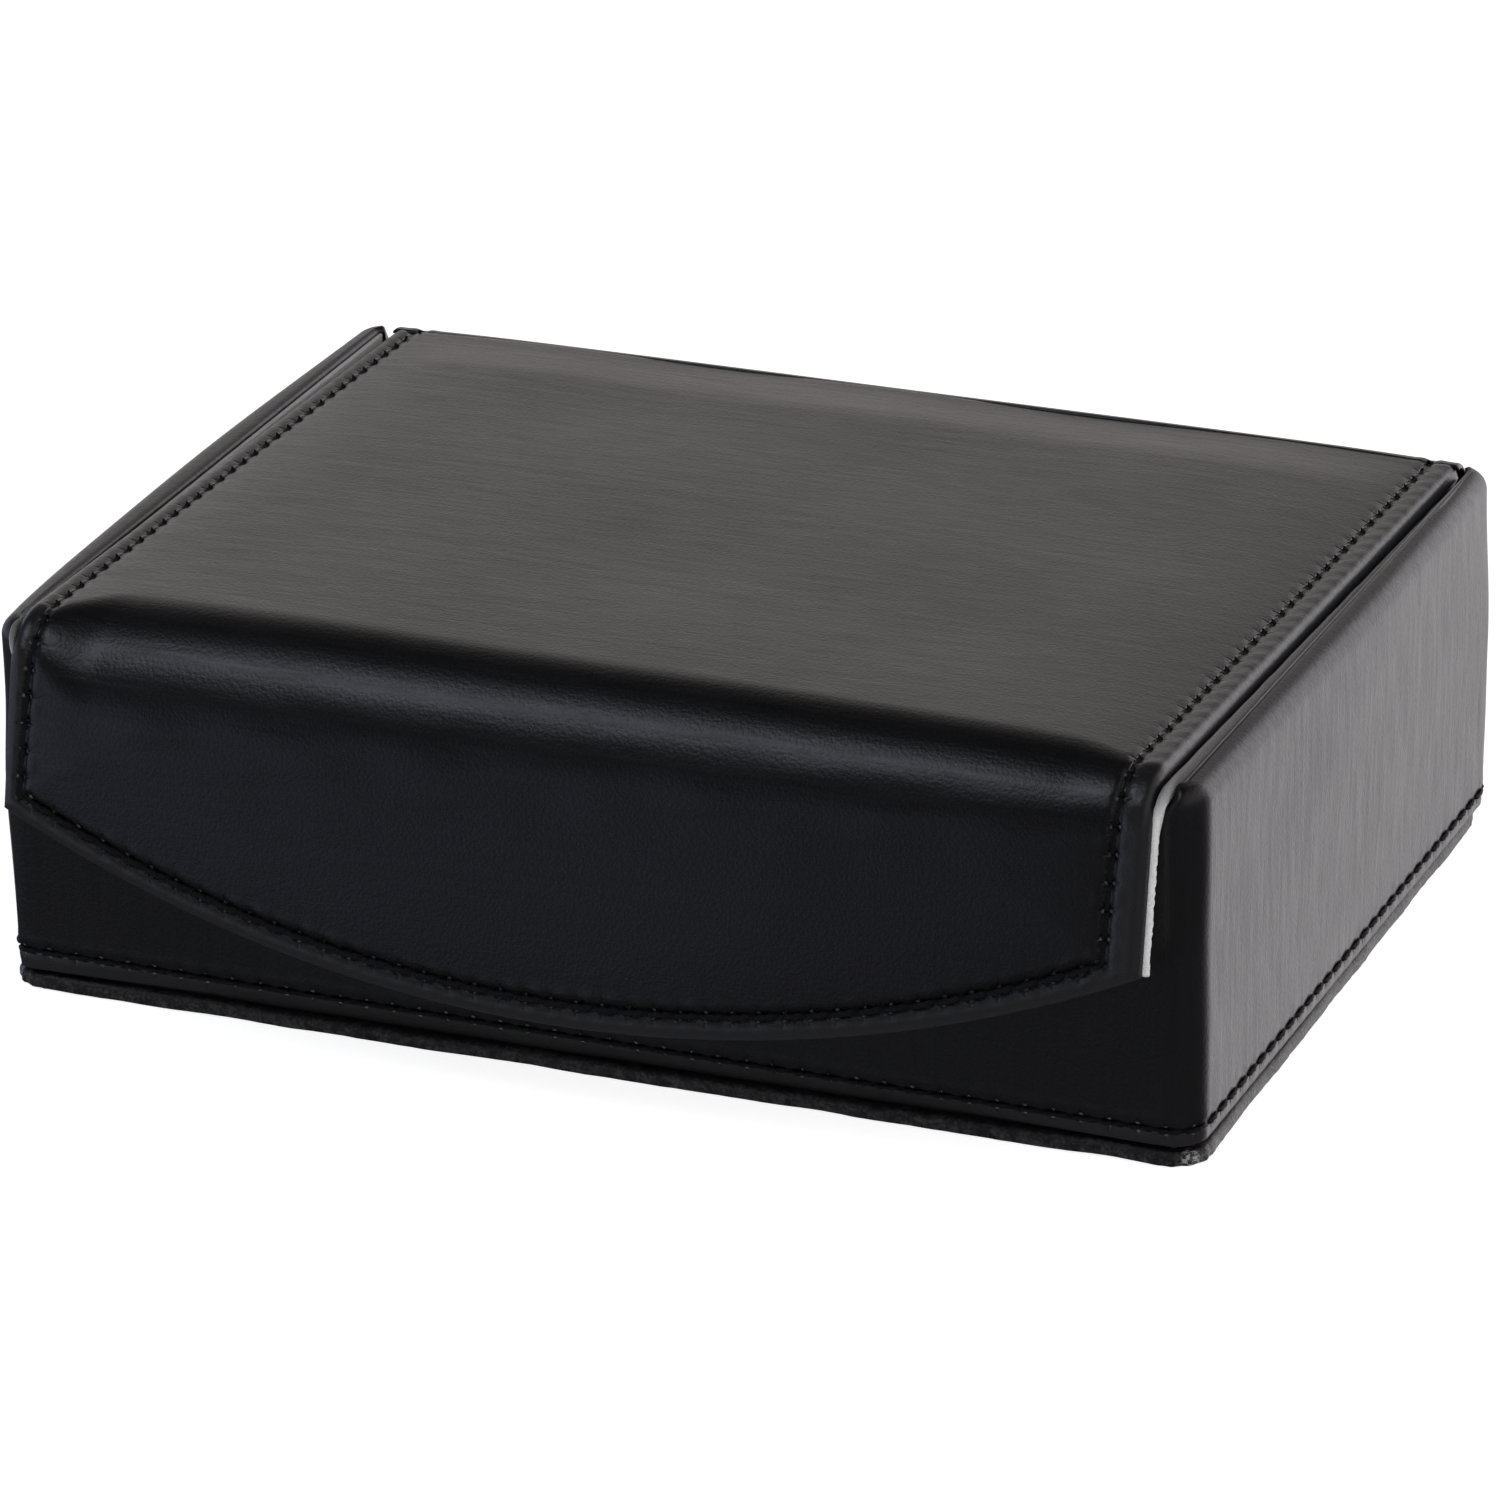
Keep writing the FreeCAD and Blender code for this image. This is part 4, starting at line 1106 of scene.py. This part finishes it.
def leatherette(name, grain_stretch, tint, roughness):
    """Smooth semi-gloss black leatherette: a fine pebble grain, faint brushed streaks, dented whiskers at
    holes; painted shade in the seams, painted glints by the holes and a painted sheen on the margins outside
    the seams.
    """
    material, tree, shader, place = new_material(name)
    cells = add_node(tree, "ShaderNodeTexVoronoi", {"Vector": place, "Scale": 1500.0},
                     feature="SMOOTH_F1").outputs["Distance"]
    pores = noise(tree, place, 2600.0, 2.0)
    streaks = noise(tree, stretched(tree, place, grain_stretch), 60.0, 4.0, 0.65)

    # Distances beside the sewn line are in millimetres, those along it in stitches.
    across, holes, heavy = seam_marks(tree)
    from_hole = compute(tree, "PINGPONG", holes, 0.5)
    beside = compute(tree, "ABSOLUTE", across)

    def scattered(scale, detail, amount, start, roughness=0.5):
        """A value with noise of the given amount added."""
        return compute(tree, "MULTIPLY_ADD", noise(tree, place, scale, detail, roughness), amount, start)

    # Painted shade: dented whiskers at each hole and a band beside the thread, wider and ragged on the flap,
    # are painted black as the shade in the seam's groove and creases.
    wandering = compute(tree, "ADD", from_hole, scattered(900.0, 1.0, 0.10, -0.05))
    from_line = compute(tree, "ABSOLUTE", wandering)
    tip = scattered(700.0, 2.0, 1.6, beside)
    whisker = times(tree, remap(tree, from_line, 0.0, 0.08, 1.0, 0.0), remap(tree, tip, 1.3, 3.0, 1.0, 0.0))
    ragged = scattered(1500.0, 3.0, 1.3, beside, 0.7)
    dark_band = times(tree, remap(tree, ragged, 1.35, 1.95, 1.0, 0.0), heavy)
    band = compute(tree, "MAXIMUM", remap(tree, beside, 0.42, 0.70, 1.0, 0.0), dark_band)
    whisker = compute(tree, "MAXIMUM", whisker, band)
    # Painted glints: light dots beside each hole, painted in as highlights.
    by_hole = times(tree, remap(tree, from_hole, 0.03, 0.09, 1.0, 0.0), remap(tree, beside, 0.45, 0.6))
    by_hole = times(tree, by_hole, remap(tree, beside, 0.9, 1.15, 1.0, 0.0))
    painted_glint = times(tree, by_hole, remap(tree, noise(tree, place, 1300.0, 2.0), 0.43, 0.52))
    # Painted sheen: the margin between each sewn line and the edge is painted lighter, standing in for the
    # light it catches.
    margin = times(tree, remap(tree, across, -0.2, -0.9), remap(tree, across, -30.0, -20.0))

    dark = mix_colours(tree, noise(tree, place, 22.0, 2.0), *tint)
    # Painted sheen on the margins outside the seams.
    dark = mix_colours(tree, margin, dark, MARGIN_PAINTED_SHEEN)
    # Painted shade of the seams over the leather's colour.
    colour = mix_colours(tree, times(tree, whisker, 0.8), dark, SEAM_PAINTED_SHADE)
    gloss = remap(tree, streaks, 0.3, 0.7, roughness - 0.045, roughness + 0.045)
    fine = bump(tree, compute(tree, "MULTIPLY_ADD", pores, 0.5, cells), 0.30, 0.00014)
    brushed = bump(tree, streaks, 0.10, 0.00035, fine)
    feed(tree, shader, {
        # Painted glints by the holes over the leather's colour.
        "Base Color": mix_colours(tree, painted_glint, colour, PAINTED_GLINT),
        "Roughness": compute(tree, "MULTIPLY_ADD", cells, 0.06, gloss),
        "Normal": bump(tree, times(tree, whisker, -1.0), 0.9, 0.00022, brushed),
        "IOR": 1.52,
    })
    return material


def dull_wrap(name):
    """The base's wrap: the same black, but rough and scuffed along its edge; its left and right faces are
    painted lighter as painted light.
    """
    material, tree, shader, place = new_material(name)
    scuffs = noise(tree, place, 420.0, 5.0, 0.7)
    speckle = noise(tree, place, 1500.0, 3.0, 0.6)
    share = remap(tree, times(tree, scuffs, speckle), 0.20, 0.42)
    # Painted light: the faces that point left and right get the lighter speckled grey, standing in for the
    # light they catch; the front keeps the darker speckle.
    fuzz = mix_colours(tree, share, (0.030, 0.030, 0.031, 1), grey(0.20))
    smooth = mix_colours(tree, share, (0.006, 0.005, 0.005, 1), (0.050, 0.045, 0.043, 1))
    sideways = separate(tree, add_node(tree, "ShaderNodeNewGeometry").outputs["Normal"])[0]
    painted_lit_sides = remap(tree, compute(tree, "ABSOLUTE", sideways), 0.45, 0.85, smooth=True)
    x, y, _ = separate(tree, place)
    near_x = remap(tree, compute(tree, "ABSOLUTE", x), *FRAYED_X)
    near_y = remap(tree, compute(tree, "ABSOLUTE", y), *FRAYED_Y)
    frayed = times(tree, times(tree, near_x, near_y), remap(tree, speckle, 0.48, 0.60))
    feed(tree, shader, {
        "Base Color": mix_colours(tree, frayed, mix_colours(tree, painted_lit_sides, smooth, fuzz), grey(0.40)),
        "Roughness": remap(tree, scuffs, 0.3, 0.7, 0.38, 0.62),
        "Normal": bump(tree, compute(tree, "ADD", scuffs, speckle), 0.45, 0.0004),
    })
    return material


def velvet(name, base, painted_shade=None):
    """Short light-grey pile: soft patches where it lies differently, a fine nap and a sheen.

    The shaded colour, when given, is a painted shade shown where a piece's first mark is 0, fading to the
    full colour where the mark is 1.
    """
    material, tree, shader, place = new_material(name)
    nap = noise(tree, place, 2300.0, 3.0, 0.7)
    patches = noise(tree, place, 45.0, 4.0, 0.6)
    light = tuple(min(1.0, each * 1.18) for each in base[:3]) + (1,)
    dark = tuple(each * 0.72 for each in base[:3]) + (1,)
    share = compute(tree, "MULTIPLY_ADD", nap, 0.55, times(tree, patches, 0.45))
    colour = mix_colours(tree, remap(tree, share, 0.32, 0.68), dark, light)
    # Painted shade: the given colour darkens the velvet where the piece's first mark is low.
    if painted_shade:
        colour = mix_colours(tree, seam_marks(tree)[0], painted_shade, colour)
    feed(tree, shader, {
        "Base Color": colour,
        "Roughness": 0.95,
        "Specular IOR Level": 0.15,
        "Sheen Weight": 0.55,
        "Sheen Roughness": 0.45,
        "Normal": bump(tree, nap, 0.65, 0.0005),
    })
    return material


def twisted_thread(name):
    """Waxed black polyester: two plies with fine filaments and small glints."""
    material, tree, shader, place = new_material(name)
    filaments = noise(tree, place, 5200.0, 2.0, 0.6)
    feed(tree, shader, {
        "Base Color": mix_colours(tree, filaments, (0.0008, 0.0008, 0.0010, 1), (0.012, 0.012, 0.014, 1)),
        "Roughness": remap(tree, filaments, 0.35, 0.65, 0.38, 0.75),
        "Normal": bump(tree, filaments, 1.0, 0.00030),
        "Specular IOR Level": 0.24,
    })
    return material


def plain_stuff(name, light, dark, scale, roughness, depth, metallic=0.0):
    """Hidden inside materials: board, foam and steel, each with its own grain."""
    material, tree, shader, place = new_material(name)
    grain = noise(tree, place, scale, 4.0, 0.65)
    feed(tree, shader, {
        "Base Color": mix_colours(tree, grain, dark, light),
        "Roughness": remap(tree, grain, 0.3, 0.7, roughness - 0.1, roughness + 0.08),
        "Normal": bump(tree, grain, 0.5, depth),
        "Metallic": metallic,
    })
    return material


def dress_nodes():
    """Give every CAD node that stays a material for what it is made of."""
    board = plain_stuff("dark_greyboard", (0.075, 0.070, 0.066, 1), (0.035, 0.033, 0.031, 1),
                        900.0, 0.85, 0.0003)
    foam = plain_stuff("firm_foam", (0.62, 0.62, 0.60, 1), (0.42, 0.42, 0.41, 1), 1200.0, 0.9, 0.0006)
    steel = plain_stuff("nickel_steel", (0.66, 0.66, 0.68, 1), (0.50, 0.50, 0.52, 1),
                        700.0, 0.35, 0.00005, metallic=1.0)
    kinds = {"riser": foam, "foam": foam, "rack": foam, "magnet": steel, "strike": steel}
    for name, node in frame["nodes"].items():
        stuff = next((kinds[part] for part in kinds if part in name), board)
        node.data.materials.clear()
        node.data.materials.append(stuff)


# -------- studio


def build_floor():
    """A plain pale floor; it shows to the camera but not in the leather's reflections."""
    mesh = bpy.data.meshes.new("floor")
    reach, below = 6.0, -0.0002
    corners = [(x * reach, y * reach, below) for x, y in ((-1, -1), (1, -1), (1, 1), (-1, 1))]
    mesh.from_pydata(corners, [], [(0, 1, 2, 3)])
    floor = bpy.data.objects.new("studio_floor", mesh)
    bpy.context.scene.collection.objects.link(floor)
    material, tree, shader, place = new_material("pale_floor")
    feed(tree, shader, {
        "Base Color": mix_colours(tree, noise(tree, place, 3.0, 2.0), grey(0.90), grey(0.92)),
        "Roughness": 0.9,
        "Emission Color": grey(1),
        "Emission Strength": 0.86,
    })
    mesh.materials.append(material)
    floor.visible_glossy = False


def build_world():
    """White sweep behind and to the right, dark studio in front and overhead, white to the camera."""
    world = bpy.data.worlds.new("studio")
    bpy.context.scene.world = world
    world.use_nodes = True
    tree = world.node_tree
    tree.nodes.clear()
    x, y, z = separate(tree, tree.nodes.new("ShaderNodeTexCoord").outputs["Generated"])

    # The sweep stands behind the case and is brightest low on the right.
    behind = remap(tree, y, 0.50, 0.92, smooth=True)
    sweep = times(tree, behind, remap(tree, z, 0.44, 0.66, 1.0, 0.0, smooth=True))
    to_right = times(tree, remap(tree, x, -0.10, 0.38, smooth=True),
                     remap(tree, z, 0.3, -0.3, 1.0, 0.75, smooth=True))
    sweep_colour = mix_colours(tree, to_right, (0.87, 0.82, 0.80, 1), (2.90, 2.78, 2.90, 1))
    leftwards = remap(tree, x, -0.28, -0.42, 0.86, 1.06)
    sweep_colour = add_node(tree, "ShaderNodeVectorMath", {0: sweep_colour, "Scale": leftwards},
                            operation="SCALE").outputs[0]

    # In front it is dark, but for a bluish band at the horizon, a patch far left and a dim high right.
    horizon = times(tree, remap(tree, z, -0.34, -0.10, smooth=True),
                    remap(tree, z, -0.05, 0.17, 1.0, 0.0, smooth=True))
    horizon = times(tree, horizon, remap(tree, x, -0.22, -0.46, 0.25, 1.0))
    near_level = times(tree, remap(tree, z, -0.35, -0.05, smooth=True), remap(tree, z, 0.15, 0.45, 1.0, 0.0))
    far_left = times(tree, remap(tree, x, -0.38, -0.66, smooth=True), near_level)
    high_right = times(tree, remap(tree, x, 0.15, 0.55, smooth=True), remap(tree, z, 0.1, 0.4))
    front = mix_colours(tree, horizon, (0.012, 0.012, 0.016, 1), (0.42, 0.44, 0.60, 1))
    front = mix_colours(tree, far_left, front, (0.55, 0.60, 0.80, 1))
    front = mix_colours(tree, high_right, front, (0.60, 0.56, 0.54, 1))

    is_camera = tree.nodes.new("ShaderNodeLightPath").outputs["Is Camera Ray"]
    colour = mix_colours(tree, is_camera, mix_colours(tree, sweep, front, sweep_colour), grey(1))
    background = add_node(tree, "ShaderNodeBackground", {"Color": colour, "Strength": 1.0})
    add_node(tree, "ShaderNodeOutputWorld", {"Surface": background.outputs[0]})


def add_softbox(name, place, size, energy, colour):
    """A large soft area light aimed at the case; the camera doesn't see it."""
    light = bpy.data.lights.new(name, "AREA")
    light.shape = "RECTANGLE"
    light.size, light.size_y = size
    light.energy = energy
    light.color = colour
    lamp = bpy.data.objects.new(name, light)
    lamp.location = place
    aim = Vector((0, 0, 0.04)) - Vector(place)
    lamp.rotation_mode = "QUATERNION"
    lamp.rotation_quaternion = aim.to_track_quat("-Z", "Y")
    lamp.visible_camera = False
    bpy.context.scene.collection.objects.link(lamp)


def build_camera():
    """The camera at the photograph's angle."""
    azimuth, elevation, roll = radians(22.42), radians(22.87), radians(0.92)
    distance, target = 1.8906, Vector((-0.0011, -0.0034, 0.0335))
    back = Vector((sin(azimuth) * cos(elevation), -cos(azimuth) * cos(elevation), sin(elevation)))
    lens = bpy.data.cameras.new("camera")
    lens.sensor_width = 36
    lens.lens = 227.36
    lens.clip_end = 100
    camera = bpy.data.objects.new("camera", lens)
    camera.location = target + back * distance
    camera.rotation_mode = "QUATERNION"
    camera.rotation_quaternion = (-back).to_track_quat("-Z", "Y") @ Quaternion((0, 0, 1), -roll)
    bpy.context.scene.collection.objects.link(camera)
    bpy.context.scene.camera = camera
    bpy.context.scene.view_settings.view_transform = "Standard"


# -------- the whole scene


lid_tint = ((0.0040, 0.0039, 0.0041, 1), (0.0065, 0.0063, 0.0063, 1))
wall_tint = ((0.0050, 0.0050, 0.0054, 1), (0.0080, 0.0079, 0.0084, 1))
lid_leather = leatherette("lid_leatherette", (1, 14, 14), lid_tint, roughness=0.33)
wall_leather = leatherette("wall_leatherette", (12, 12, 1), wall_tint, roughness=0.36)
light_velvet = velvet("light_grey_velvet", (0.70, 0.71, 0.72, 1))
black_thread = twisted_thread("black_thread")

dress_nodes()
build_cover(lid_leather)
build_rear(lid_leather)
hem_path = build_walls(wall_leather)
build_cover_threads(black_thread)
build_rear_threads(black_thread)
build_hem_threads(hem_path, black_thread)
# The lining edges' velvet: a brighter copy of the light-grey velvet as painted light, with a painted shade
# where the edge runs along the lid.
lit_and_shaded_edge_velvet = velvet("lit_and_shaded_edge_velvet", grey(0.92), painted_shade=grey(0.26))
lining_edges = build_lining_edges(lit_and_shaded_edge_velvet)
build_lid_lining(light_velvet)
build_wall_linings(light_velvet)
build_hinge_lining(light_velvet)
build_racks(light_velvet)
build_wells(light_velvet)
build_base(dull_wrap("base_leatherette"))

build_floor()
build_world()
add_softbox("overhead_front", place=(-0.49, -0.54, 1.14), size=(0.80, 0.38), energy=2.6,
            colour=(0.82, 0.88, 1.0))
build_camera()
